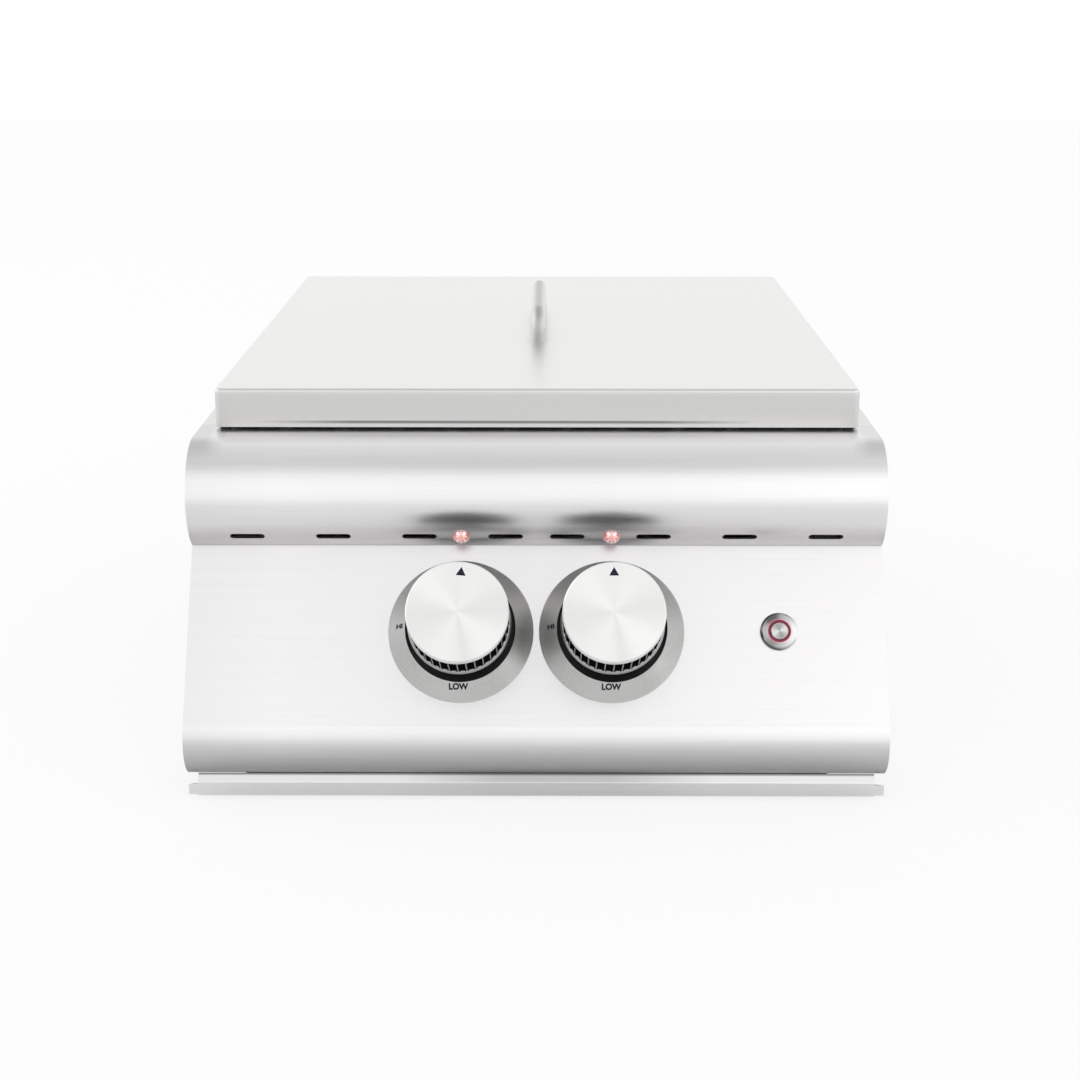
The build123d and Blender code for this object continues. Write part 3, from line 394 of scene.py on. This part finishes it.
# Turned pieces: noise cells to a millimetre outward and to a radian round, and the wedges of painted
# reflection on their faces, each with a direction in degrees, a power and a weight
RING_SCALE = 5.2
RING_DRIFT = 0.6
RING_SWING = 0.15
FACE_REFLECTION_LOBES = ((137.0, 9.0, 0.55), (317.0, 9.0, 0.55), (60.0, 14.0, 0.25), (250.0, 16.0, 0.2),
              (5.0, 8.0, -0.4), (187.0, 6.0, -0.4), (281.0, 60.0, -0.5))
BEZEL_REFLECTION_LOBES = ((90.0, 0.7, -0.4), (270.0, 2.0, 0.5), (0.0, 2.0, -0.4), (180.0, 2.0, -0.45),
               (322.0, 40.0, 0.4))
BUTTON_CAP_REFLECTION_LOBES = ((15.0, 6.0, 0.6), (200.0, 6.0, 0.6), (105.0, 3.0, -0.5), (290.0, 3.0, -0.5))
FLANGE_REFLECTION_LOBES = ((-10.0, 2.0, 0.6), (120.0, 7.0, -0.7), (235.0, 9.0, -0.3))


def spun_tone(finish, radius, angle, lobes):
    """Rings of noise that run round an axis, and a level made of soft wedges of painted reflection round it."""
    rings = finish.noise(finish.add("CombineXYZ", {}, {"X": radius * RING_SCALE, "Y": angle * RING_DRIFT}))
    level = finish.spread(rings, -RING_SWING, RING_SWING) + 0.5
    for direction, power, weight in lobes:
        level = level + finish.lobe(angle, direction, power) * weight
    return rings, level


SPUN_SWING = 0.08
SPUN_ROUGH_SWING = 0.04
SPUN_BUMP = (0.2, 0.00004)


def spun_steel(name, colour, rough, centre, lobes):
    """Steel turned on a lathe: fine rings round an axis, with soft bright and dark wedges of painted reflection.
    """
    finish = Finish(name, Metallic=1.0)
    radius, angle, _ = finish.polar(centre)
    rings, level = spun_tone(finish, radius, angle, lobes)
    return finish.wear(Base_Color=finish.tinted(level, colour, 1.0 - SPUN_SWING, 1.0 + SPUN_SWING),
                       Roughness=finish.ramp(level, rough + SPUN_ROUGH_SWING, rough - SPUN_ROUGH_SWING),
                       Normal=finish.bump(rings, *SPUN_BUMP))


# Bezel: grains to a metre, swings of its tone, and how far below the skin its inside is painted black as shade, in
# millimetres
GRIT_SCALE = 1400.0
GRIT_SWING = 0.18
GRIT_SPREAD = (0.35, 0.65)
BEZEL_SKIN = (0.4, 0.8)
BEZEL_HOLLOW_SHADE = (0.006, 0.006, 0.006)
BEZEL_TINTS = (0.74, 1.16)
BEZEL_ROUGH_SWING = 0.05
BEZEL_BUMP = (0.25, 0.00005)


def bezel_steel(name, colour, rough, centre):
    """Satin cone, turned: the face is bright, and everything below its skin is painted black as the shade inside
    it.
    """
    finish = Finish(name)
    radius, angle, height = finish.polar(centre)
    rings, level = spun_tone(finish, radius, angle, BEZEL_REFLECTION_LOBES)
    grit = finish.noise(finish.place(), GRIT_SCALE, 3.0)
    level = level + finish.ramp(grit, -GRIT_SWING, GRIT_SWING, *GRIT_SPREAD)
    skin_height = (BEZEL_RADIUS * MM - radius) * BEZEL_FALL
    face = finish.fall(skin_height - height, *BEZEL_SKIN)
    steel = finish.tinted(level, colour, *BEZEL_TINTS)
    return finish.wear(Base_Color=finish.blend(face, BEZEL_HOLLOW_SHADE, steel), Metallic=face,
                       Roughness=finish.ramp(level, rough + BEZEL_ROUGH_SWING, rough - BEZEL_ROUGH_SWING),
                       Normal=finish.bump(rings, *BEZEL_BUMP))


# Button: widths in millimetres, colours of its painted reflection from dark to bright, its painted shadow and
# glow, roughness and bump
FLANGE_RIM = (-1.0, -0.4)
GLOW_INWARD = 1.7
GLOW_OUTWARD = 1.3
GLOW_LEVEL = 0.55
PAINTED_GLOW_COLOUR = (0.80, 0.36, 0.45)
BUTTON_CAP_REFLECTION_COLOURS = ((0.34, 0.36, 0.34), (0.70, 0.72, 0.70))
FLANGE_REFLECTION_COLOURS = ((0.12, 0.12, 0.12), (0.86, 0.86, 0.86))
FLANGE_SHADOW = (225.0, 2.0)
BUTTON_ROUGH = (0.16, 0.26)
BUTTON_BUMP = (0.15, 0.00003)


def button_steel(name, centre):
    """Polished flange and spun cap, dark and bright by turns in painted reflections, with a painted shadow on the
    flange's rim and a painted glow where the lit ring shines on them.
    """
    finish = Finish(name, Metallic=1.0)
    radius, angle, _ = finish.polar(centre)
    inner, outer = LIGHT_RING_INNER * MM, LIGHT_RING_OUTER * MM
    rings, cap_level = spun_tone(finish, radius, angle, BUTTON_CAP_REFLECTION_LOBES)
    _, flange_level = spun_tone(finish, radius, angle, FLANGE_REFLECTION_LOBES)
    rim = finish.rise(radius, *(BUTTON_RADIUS * MM + step for step in FLANGE_RIM))
    shadow = rim * finish.lobe(angle, *FLANGE_SHADOW)
    cap = finish.blend(cap_level, *BUTTON_CAP_REFLECTION_COLOURS)
    flange = finish.blend(flange_level - shadow, *FLANGE_REFLECTION_COLOURS)
    steel = finish.blend(finish.rise(radius, inner, outer), cap, flange)
    glow = (finish.ramp(radius, 0.0, GLOW_LEVEL, inner - GLOW_INWARD, inner)
            * finish.fall(radius, outer, outer + GLOW_OUTWARD))
    return finish.wear(Base_Color=finish.blend(glow, steel, PAINTED_GLOW_COLOUR),
                       Roughness=finish.spread(rings, *BUTTON_ROUGH), Normal=finish.bump(rings, *BUTTON_BUMP))


# Plain metal and mouldings: noise cells to a metre, weights, swings, and depths of their grains in metres
STAIN_SCALE = 22.0
STAIN_WEIGHT = 0.6
METAL_DEPTH = 0.00008
MOULD_SCALE = 1500.0
MOULD_TINTS = (0.85, 1.2)
MOULD_DEPTH = 0.00005
PATCH_SCALE = 60.0
PLAIN_ROUGH = (-0.06, 0.08)


def plain_metal(name, colour, rough, scale=900.0, strength=0.1, mottle=0.12):
    """Bare metal with a fine grain and faint stains."""
    finish = Finish(name, Metallic=1.0)
    grain = finish.noise(finish.place(), scale, 3.0)
    stain = finish.noise(finish.place(), STAIN_SCALE, 4.0, 0.6)
    tone = finish.spread(grain * (1.0 - STAIN_WEIGHT) + stain * STAIN_WEIGHT, 0.0, 1.0)
    return finish.wear(Base_Color=finish.tinted(tone, colour, 1.0 - mottle, 1.0 + mottle),
                       Roughness=finish.ramp(tone, *(rough + step for step in PLAIN_ROUGH)),
                       Normal=finish.bump(grain, strength, METAL_DEPTH))


def moulded(name, colour, rough, scale=MOULD_SCALE, strength=0.15, **constants):
    """Plastic, rubber or glaze with a fine moulded grain and a slight change of tone."""
    finish = Finish(name, **constants)
    grain = finish.noise(finish.place(), scale)
    patch = finish.noise(finish.place(), PATCH_SCALE)
    return finish.wear(Base_Color=finish.tinted(patch, colour, *MOULD_TINTS),
                       Roughness=finish.spread(grain, *(rough + step for step in PLAIN_ROUGH)),
                       Normal=finish.bump(grain, strength, MOULD_DEPTH))


# Ribs of the grip: where their painted glint starts, as a share of their height, its fade in millimetres, the
# cosines between which it reaches their middle, and how a grain breaks it up
RIB_GLINT_START = 0.55
RIB_FADE = 0.12
RIB_MIDDLE = (0.84, 0.97)
RIB_GLINT_LEVELS = (0.35, 0.9)
RIB_GLINT_SPREAD = (0.4, 0.6)
GRIP_COLOUR = (0.005, 0.005, 0.006)
RIB_GLINT_COLOUR = (0.50, 0.50, 0.49)
GRIP_ROUGH = (0.42, 0.56)
GRIP_BUMP = (0.1, 0.00004)


def ribbed_grip(name, centre):
    """Black moulding with no gloss of its own, whose ribs carry a painted glint: metallic grey along the middle of
    their crowns, broken up by a grain.
    """
    finish = Finish(name, Specular_IOR_Level=0.0)
    radius, angle, _ = finish.polar(centre)
    crown_start = (GRIP_RADIUS + RIB_HEIGHT * RIB_GLINT_START) * MM
    middle = finish.sum("COSINE", angle * RIB_COUNT, 0.0)
    crown = finish.rise(radius, crown_start, crown_start + RIB_FADE) * finish.rise(middle, *RIB_MIDDLE)
    grain = finish.noise(finish.place(), MOULD_SCALE)
    glint = crown * finish.ramp(grain, *RIB_GLINT_LEVELS, *RIB_GLINT_SPREAD)
    return finish.wear(Base_Color=finish.blend(glint, GRIP_COLOUR, RIB_GLINT_COLOUR), Metallic=glint,
                       Roughness=finish.spread(grain, *GRIP_ROUGH), Normal=finish.bump(grain, *GRIP_BUMP))


# Lit lens: its petals, the plane of its middle, places and fades in millimetres, and its colours
LENS_PETALS = 8
LENS_LEAN = (0.56, 0.83)
LENS_DROP = 0.4
LENS_PETAL_EDGE = 0.8
LENS_FLANK = (2.6, 4.0)
LENS_FLANK_LEVEL = 0.75
LENS_CORE = (0.5, 1.3)
LENS_UNDERSIDE = (-2.4, -0.8)
LENS_UNDERSIDE_LEVEL = 0.7
# Two painted white highlights high on the dome: their place beside and above the middle, and their fade
HIGHLIGHT_SIDE = 2.0
HIGHLIGHT_UP = 1.9
HIGHLIGHT_SIZE = (0.6, 1.5)
FLECK_SCALE = 900.0
LENS_COLOURS = {"groove": (0.72, 0.12, 0.11), "fleck": (0.95, 0.42, 0.38), "petal": (1.0, 0.74, 0.71),
                "flank": (0.66, 0.15, 0.14), "core": (0.94, 0.40, 0.34), "spark": (1.0, 1.0, 1.0),
                "underside": (0.82, 0.74, 0.73)}


def lit_lens(name, centre):
    """Cut lens over a lit lamp: pale petals round a salmon middle, two painted white highlights high up, red
    towards the sides and a plain pink underside. Its middle lies on the dome's upper flank, in a plane that
    leans back with it."""
    finish = Finish(name, Emission_Strength=0.22, Specular_IOR_Level=0.6, Roughness=0.12, Coat_Weight=0.6)
    side, rise, out = finish.local(centre, LAMP_TURN)
    up = rise * LENS_LEAN[0] - out * LENS_LEAN[1] + LENS_DROP
    radius = (side * side + up * up) ** 0.5
    angle = finish.sum("ARCTAN2", up, side)
    wave = finish.sum("COSINE", angle * LENS_PETALS, 0.0)
    petal = finish.rise(wave, -LENS_PETAL_EDGE, LENS_PETAL_EDGE)
    fleck = finish.noise(finish.place(centre, LAMP_TURN), FLECK_SCALE)
    groove = finish.blend(fleck, LENS_COLOURS["groove"], LENS_COLOURS["fleck"])
    cut = finish.blend(petal, groove, LENS_COLOURS["petal"])
    flank = finish.ramp(abs(side), 0.0, LENS_FLANK_LEVEL, *LENS_FLANK)
    flanked = finish.blend(flank, cut, LENS_COLOURS["flank"])
    cored = finish.blend(finish.fall(radius, *LENS_CORE), flanked, LENS_COLOURS["core"])
    # Painted highlights: two white spots high on the dome
    spark_side = abs(side) - HIGHLIGHT_SIDE
    spark_up = up - HIGHLIGHT_UP
    spark = finish.fall((spark_side * spark_side + spark_up * spark_up) ** 0.5, *HIGHLIGHT_SIZE)
    sparked = finish.blend(spark, cored, LENS_COLOURS["spark"])
    under = finish.ramp(rise, LENS_UNDERSIDE_LEVEL, 0.0, *LENS_UNDERSIDE)
    lit = finish.blend(under, sparked, LENS_COLOURS["underside"])
    return finish.wear(Base_Color=lit, Emission_Color=lit)


# Stage: light, floor, card and camera, in metres, with the room's levels at elevations or sides in degrees
FRONT_LEVELS = ((-90, 0.4), (-6, 0.9), (0, 1.0), (35, 1.0), (45, 0.96), (66, 0.62), (90, 0.59))
REAR_LEVELS = ((-90, 0.4), (-6, 0.82), (0, 0.90), (14, 0.94), (30, 0.83), (60, 0.61), (90, 0.59))
STAND_LEVELS = ((-90, 0.84), (-13, 0.84), (-8, 0.98), (0, 0.58), (8, 1.0), (90, 1.0))
FRONT_TO_REAR = (-0.25, 0.25)
ROOM_STRENGTH = 1.27
FLOOR_CORNERS = ((-6.0, -6.0), (6.0, 6.0))
FLOOR_HEIGHT = -0.0006
FLOOR_GREY = 0.93
FLOOR_WHITENED = 0.82
CARD_CORNERS = ((-0.9, -1.7), (0.9, 0.5))
CARD_HEIGHT = -0.0003
CARD_GREY = 0.82
KEY_PLACE = (-2.2, 0.3, 1.6)
KEY_AIM = (0.0, 0.0, 0.1)
KEY_SIZE = 2.4
KEY_POWER = 6.0
CAMERA_LENS = 63.33
SENSOR_WIDTH = 36.0
CAMERA_PLACE = (0.0083, -1.3933, 0.496)
CAMERA_TURN = (radians(73.68), 0.0, radians(0.30))


def angle_levels(room, levels, along):
    """Grey levels of the room, laid along the sines of their angles."""
    stops = [((sin(radians(turn)) + 1.0) / 2.0, level) for turn, level in levels]
    return room.add("ValToRGB", {"stops": stops}, {0: along})


def studio_room():
    """Soft room: bright low walls, a greyer ceiling, and in front a bright band up to mid height with the
    dimmer camera stand in its middle."""
    world = bpy.data.worlds.new("studio")
    bpy.context.scene.world = world
    world.use_nodes = True
    world.node_tree.nodes.clear()
    room = Board(world.node_tree)
    view = room.add("TexCoord", {}, {}, "Generated")
    height = room.rise(room.part(view, "Z"), -1.0, 1.0)
    across = room.rise(room.part(view, "X"), -1.0, 1.0)
    front = angle_levels(room, FRONT_LEVELS, height)
    rear = angle_levels(room, REAR_LEVELS, height)
    stand = angle_levels(room, STAND_LEVELS, across)
    before = room.blend(1.0, front, stand, "MULTIPLY")
    walls = room.blend(room.rise(room.part(view, "Y"), *FRONT_TO_REAR), before, rear)
    sky = room.add("Background", {}, {"Color": walls, "Strength": ROOM_STRENGTH})
    room.add("OutputWorld", {}, {"Surface": sky})


def stage_sheet(name, corners, height, grey):
    """A flat sheet on the floor between two corners."""
    (left, front), (right, back) = corners
    mesh = bpy.data.meshes.new(name)
    mesh.from_pydata([(left, front, height), (right, front, height), (right, back, height),
                      (left, back, height)], [], [(0, 1, 2, 3)])
    sheet = bpy.data.objects.new(name, mesh)
    bpy.context.scene.collection.objects.link(sheet)
    paint = Finish(name + "_paint", Base_Color=(grey, grey, grey, 1.0), Roughness=1.0, Specular_IOR_Level=0.0)
    mesh.materials.append(paint.material)
    return sheet, paint


def white_floor():
    """Pale floor that the camera, mirrors and glass see whitened, with the object's shadow still on it."""
    _, paint = stage_sheet("floor", FLOOR_CORNERS, FLOOR_HEIGHT, FLOOR_GREY)
    paths = [paint.add("LightPath", {}, {}, name)
             for name in ("Is Camera Ray", "Is Glossy Ray", "Is Transmission Ray")]
    seen = paint.sum("MAXIMUM", paint.sum("MAXIMUM", paths[0], paths[1]), paths[2])
    glow = paint.add("Emission", {}, {"Color": (1.0, 1.0, 1.0, 1.0), "Strength": 1.0})
    plain = Socket(paint, paint.shader.outputs[0])
    mixed = paint.add("MixShader", {}, {0: seen * FLOOR_WHITENED, 1: plain, 2: glow})
    paint.feed(paint.tree.nodes["Material Output"], {"Surface": mixed})


def pale_card():
    """Pale card under and before the object, shaded by it, that only the metal sees."""
    card, _ = stage_sheet("pale_card", CARD_CORNERS, CARD_HEIGHT, CARD_GREY)
    card.visible_camera = False
    card.visible_diffuse = False
    card.visible_shadow = False


def key_lamp():
    """A square lamp hung to the left of the object and turned to face it."""
    lamp = bpy.data.lights.new("key_lamp", "AREA")
    lamp.shape = "SQUARE"
    lamp.size = KEY_SIZE
    lamp.energy = KEY_POWER
    holder = bpy.data.objects.new("key_lamp", lamp)
    bpy.context.scene.collection.objects.link(holder)
    run = Vector(KEY_AIM) - Vector(KEY_PLACE)
    holder.location = KEY_PLACE
    holder.rotation_euler = run.to_track_quat("-Z", "Y").to_euler()


def photo_camera():
    """Camera where the photograph was taken from."""
    camera = bpy.data.cameras.new("camera")
    camera.lens = CAMERA_LENS
    camera.sensor_width = SENSOR_WIDTH
    eye = bpy.data.objects.new("camera", camera)
    eye.location = CAMERA_PLACE
    eye.rotation_euler = CAMERA_TURN
    bpy.context.scene.collection.objects.link(eye)
    bpy.context.scene.camera = eye
    bpy.context.scene.view_settings.view_transform = "Standard"


studio_room()
white_floor()
pale_card()
key_lamp()
photo_camera()

# Finishes of the solids, by the record's slot or by the node
finishes = {
    # The panel, the lid and the tray take painted shade and highlight from their rows
    "panel_steel": brushed_steel("panel_steel", (0.895, 0.881, 0.891), 0.30, painted_light=panel_painted_light),
    "lid_steel": brushed_steel("lid_steel", (0.74, 0.737, 0.726), 0.34, painted_light=lid_painted_shade),
    "handle_steel": bar_steel("handle_steel"),
    "box_steel": brushed_steel("box_steel", (0.70, 0.70, 0.69), 0.36, DEEP_GRAIN),
    "tray_steel": brushed_steel("tray_steel", (0.93, 0.92, 0.925), 0.32, painted_light=tray_painted_shade,
                                lean=(LIP_FOOT, lip_top, LIP_LEAN)),
    "button_steel": button_steel("button_steel", button_centre),
    "fastener_steel": plain_metal("fastener_steel", (0.60, 0.60, 0.60), 0.35),
    "valve_brass": plain_metal("valve_brass", (0.72, 0.53, 0.24), 0.33),
    "pipe_steel": plain_metal("pipe_steel", (0.56, 0.56, 0.56), 0.42),
    "burner_iron": plain_metal("burner_iron", (0.13, 0.125, 0.12), 0.62, 500.0, 0.5, 0.25),
    "grate_steel": plain_metal("grate_steel", (0.68, 0.68, 0.67), 0.30),
    "grip_black": moulded("grip_black", (0.010, 0.010, 0.011), 0.40, Specular_IOR_Level=0.3),
    "ceramic_white": moulded("ceramic_white", (0.85, 0.84, 0.80), 0.2, 800.0, 0.05),
    "pad_rubber": moulded("pad_rubber", (0.015, 0.015, 0.015), 0.65),
    "light_ring": moulded("light_ring", (0.22, 0.012, 0.04), 0.25, 800.0, 0.05),
    "mark_ink": moulded("mark_ink", (0.012, 0.012, 0.030), 0.55, 900.0, 0.05, Specular_IOR_Level=0.2),
}
for hand, centre in knob_centres.items():
    finishes.update({
        f"{hand}_knob_cap": spun_steel(f"{hand}_knob_spun", (0.88, 0.88, 0.87), 0.32, centre, FACE_REFLECTION_LOBES),
        f"{hand}_knob_trim": spun_steel(f"{hand}_trim_spun", (0.40, 0.40, 0.395), 0.34, centre, ()),
        f"{hand}_knob_grip": ribbed_grip(f"{hand}_grip_ribbed", centre),
        f"{hand}_bezel": bezel_steel(f"{hand}_bezel_satin", (0.62, 0.62, 0.605), 0.40, centre),
    })

# The plain lamp lenses take the black, because petalled ones replace them
slot_of = {row["node"]: row["material_slot"] for row in frame["record"]["subparts"]}
for node, solid in frame["nodes"].items():
    solid.data.materials.clear()
    solid.data.materials.append(finishes.get(node) or finishes.get(slot_of[node]) or finishes["grip_black"])


# New pieces, surfaces over grids of points, in metres
def add_piece(name, mesh):
    piece = bpy.data.objects.new(name, mesh)
    bpy.context.scene.collection.objects.link(piece)
    return piece


def skin(name, rings):
    """Closed skin over rows of points along a path. Each row is a loop that runs counter-clockwise seen from
    the path's end, joins the next row face by face, and the two end rows are filled from their middles."""
    rows, columns = rings.shape[:2]
    index = np.arange(rows * columns).reshape(rows, columns)
    onward = np.roll(index, -1, axis=1)
    sides = np.stack([index[:-1], onward[:-1], onward[1:], index[1:]], axis=-1).reshape(-1, 4)
    first = np.full(columns, rows * columns)
    start = np.stack([first, onward[0], index[0]], axis=-1)
    end = np.stack([first + 1, index[-1], onward[-1]], axis=-1)
    points = np.concatenate([rings.reshape(-1, 3), rings[[0, -1]].mean(axis=1)])
    mesh = bpy.data.meshes.new(name)
    mesh.from_pydata(points.tolist(), [], sides.tolist() + start.tolist() + end.tolist())
    return add_piece(name, mesh)


def ring_skin(name, rings):
    """Skin over rows of points that close on themselves both ways, as on a bead bent into a ring."""
    rows, columns = rings.shape[:2]
    index = np.arange(rows * columns).reshape(rows, columns)
    beside = np.roll(index, -1, axis=1)
    sides = np.stack([index, beside, np.roll(beside, -1, axis=0), np.roll(index, -1, axis=0)], axis=-1)
    mesh = bpy.data.meshes.new(name)
    mesh.from_pydata(rings.reshape(-1, 3).tolist(), [], sides.reshape(-1, 4).tolist())
    return add_piece(name, mesh)


def dress(piece, finish, body):
    """Gives a piece its finish and the body it rides on."""
    piece.data.materials.append(finish)
    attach(piece, body)


def on_slope(centre, side, rise, height):
    """Points at distances sideways, upward and outward from a centre on the slope."""
    return centre + side[..., None] * ACROSS + rise[..., None] * SLOPE_UP + height[..., None] * SLOPE_OUT


POINTER_TIP = 0.0279
POINTER_FOOT = 0.0226
POINTER_HALF = 0.0030
POINTER_SINK = 0.0001
POINTER_RISE = 0.00012
POINTER_LEAN = {"left": radians(-5.0), "right": 0.0}


def pointer(hand):
    """Triangle on the knob's face: three corners turned about the axis, carried from just below the face to
    just above it."""
    side = np.array([0.0, -POINTER_HALF, POINTER_HALF])
    rise = np.array([POINTER_TIP, POINTER_FOOT, POINTER_FOOT])
    lean = POINTER_LEAN[hand]
    turned_side = side * cos(lean) - rise * sin(lean)
    turned_rise = side * sin(lean) + rise * cos(lean)
    heights = np.array([KNOB_HEIGHT - POINTER_SINK, KNOB_HEIGHT + POINTER_RISE])
    grid = np.broadcast_arrays(turned_side[None, :], turned_rise[None, :], heights[:, None])
    piece = skin(f"{hand}_pointer", on_slope(knob_centres[hand], *grid))
    dress(piece, finishes["mark_ink"], f"{hand}_knob")


BEAD_BORE = 0.0282
BEAD_STEPS = 144
BEAD_SIDES = 24


def trim_ring(hand):
    """Bead below the grip: an ellipse as wide and as high as the ring, carried round the knob's axis."""
    angle = np.linspace(0.0, 2.0 * pi, BEAD_STEPS, endpoint=False)[:, None]
    turn = np.linspace(0.0, 2.0 * pi, BEAD_SIDES, endpoint=False)[None, :]
    reach = (TRIM_RADIUS + BEAD_BORE) / 2 + (TRIM_RADIUS - BEAD_BORE) / 2 * np.cos(turn)
    height = TRIM_FOOT + TRIM_HEIGHT / 2 * (1.0 - np.sin(turn))
    grid = np.broadcast_arrays(reach * np.cos(angle), reach * np.sin(angle), height)
    piece = ring_skin(f"{hand}_trim_bead", on_slope(knob_centres[hand], *grid))
    piece.data.shade_smooth()
    node = f"{hand}_knob_trim"
    dress(piece, finishes[node], f"{hand}_knob")
    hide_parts(node)


# Each word's width and height, and its middle's place across and up from the knob's axis
BEZEL_WORDS = {"HI": (0.0042, 0.0030, -0.0383, 0.0015), "LOW": (0.0121, 0.0036, -0.0006, -0.0369)}
LETTER_RISE = 0.00010
LETTER_SINK = 0.00018
LETTER_BOLD = 0.045
LETTER_CURVE = 4


def bezel_word(hand, word):
    """A word raised on the bezel: flat letters laid out beside the axis, each point lifted to the cone, whose
    height falls evenly from its lip to its foot."""
    width, height, across, up = BEZEL_WORDS[word]
    name = f"{hand}_mark_{word.lower()}"
    letters = bpy.data.curves.new(name, "FONT")
    letters.body = word
    letters.offset = LETTER_BOLD
    letters.extrude = 1.0
    letters.resolution_u = LETTER_CURVE
    stencil = bpy.data.objects.new(name + "_stencil", letters)
    bpy.context.scene.collection.objects.link(stencil)
    bpy.context.view_layer.update()
    mesh = bpy.data.meshes.new_from_object(stencil.evaluated_get(bpy.context.evaluated_depsgraph_get()))
    bpy.data.objects.remove(stencil)
    flat = np.empty(len(mesh.vertices) * 3)
    mesh.vertices.foreach_get("co", flat)
    flat = flat.reshape(-1, 3)
    low, high = flat.min(axis=0), flat.max(axis=0)
    share = (flat - (low + high) / 2) / (high - low)
    side = across + share[:, 0] * width
    rise = up + share[:, 1] * height
    cone = (BEZEL_RADIUS - np.hypot(side, rise)) * BEZEL_FALL
    lift = np.where(share[:, 2] > 0, LETTER_RISE, -LETTER_SINK)
    mesh.vertices.foreach_set("co", on_slope(knob_centres[hand], side, rise, cone + lift).ravel())
    mesh.update()
    mesh.name = name
    mesh.materials.clear()
    dress(add_piece(name, mesh), finishes["mark_ink"], "burner_box")


LENS_PETAL_DEPTH = 0.07
LENS_SEGMENTS = 96
LENS_ROWS = 24
LENS_SWEEP = 0.47 * pi


def lamp_lens(hand):
    """Lens turned about the lamp's axis: barrel, flange and an elliptic dome whose radius swells and dips in
    petals round it, most at mid height and not at all at the rim and the tip."""
    facing = np.array([0.0, -sin(LAMP_TURN), cos(LAMP_TURN)])
    upward = np.cross(facing, ACROSS)
    seat = np.array([0.0, NOSE_Y, panel_top - NOSE_RADIUS]) + facing * NOSE_RADIUS
    seat[0] = knob_centres[hand][0]
    sweep = np.linspace(0.0, LENS_SWEEP, LENS_ROWS)
    barrel = np.array([(LAMP_BARREL_RADIUS, -LAMP_BARREL_LENGTH), (LAMP_BARREL_RADIUS, 0.0),
                       (LAMP_RADIUS, 0.0), (LAMP_RADIUS, LAMP_RIM)])
    dome = np.stack([(LAMP_RADIUS - LAMP_RIM) * np.cos(sweep), LAMP_RIM + LAMP_DOME * np.sin(sweep)], axis=-1)
    radius, out = np.concatenate([barrel, dome]).T
    swell = np.concatenate([np.zeros(len(barrel)), np.sin(2.0 * sweep)])
    angle = np.linspace(0.0, 2.0 * pi, LENS_SEGMENTS, endpoint=False)
    petal = 1.0 + LENS_PETAL_DEPTH * swell[:, None] * np.cos(LENS_PETALS * angle)[None, :]
    spread = radius[:, None] * petal
    rings = (seat + (spread * np.cos(angle))[..., None] * ACROSS
             + (spread * np.sin(angle))[..., None] * upward + out[:, None, None] * facing)
    piece = skin(f"{hand}_lens", rings)
    piece.data.shade_smooth()
    dress(piece, lit_lens(f"{hand}_lens_lit", seat), "burner_box")
    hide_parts(f"{hand}_lamp_lens")


COIL_TURNS = 5
COIL_STEPS = 36
COIL_WIRE = 0.00072
COIL_SIDES = 12


def coil_spring(hand):
    """Round wire carried along a helix about the knob's axis: at each angle a circle in the plane of the
    outward direction and the one square to it and to the helix."""
    foot = knob_centres[hand] - SLOPE_OUT * SPRING_DEPTH
    angle = np.linspace(0.0, 2.0 * pi * COIL_TURNS, COIL_TURNS * COIL_STEPS)[:, None]
    climb = SPRING_LENGTH - 2.0 * COIL_WIRE
    rise = COIL_WIRE + climb * angle / angle[-1]
    outward = np.cos(angle) * ACROSS + np.sin(angle) * SLOPE_UP
    around = np.cos(angle) * SLOPE_UP - np.sin(angle) * ACROSS
    onward = SPRING_RADIUS * around + climb / angle[-1] * SLOPE_OUT
    onward = onward / np.linalg.norm(onward, axis=1, keepdims=True)
    square = np.cross(onward, outward)
    path = foot + SPRING_RADIUS * outward + rise * SLOPE_OUT
    turn = np.linspace(0.0, 2.0 * pi, COIL_SIDES, endpoint=False)[None, :, None]
    rings = path[:, None] + COIL_WIRE * (np.cos(turn) * outward[:, None] + np.sin(turn) * square[:, None])
    piece = skin(f"{hand}_coil", rings)
    piece.data.shade_smooth()
    dress(piece, finishes["fastener_steel"], "burner_box")
    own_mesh(piece)
    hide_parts(f"{hand}_spring")


for hand in ("left", "right"):
    pointer(hand)
    trim_ring(hand)
    for word in BEZEL_WORDS:
        bezel_word(hand, word)
    lamp_lens(hand)
    coil_spring(hand)
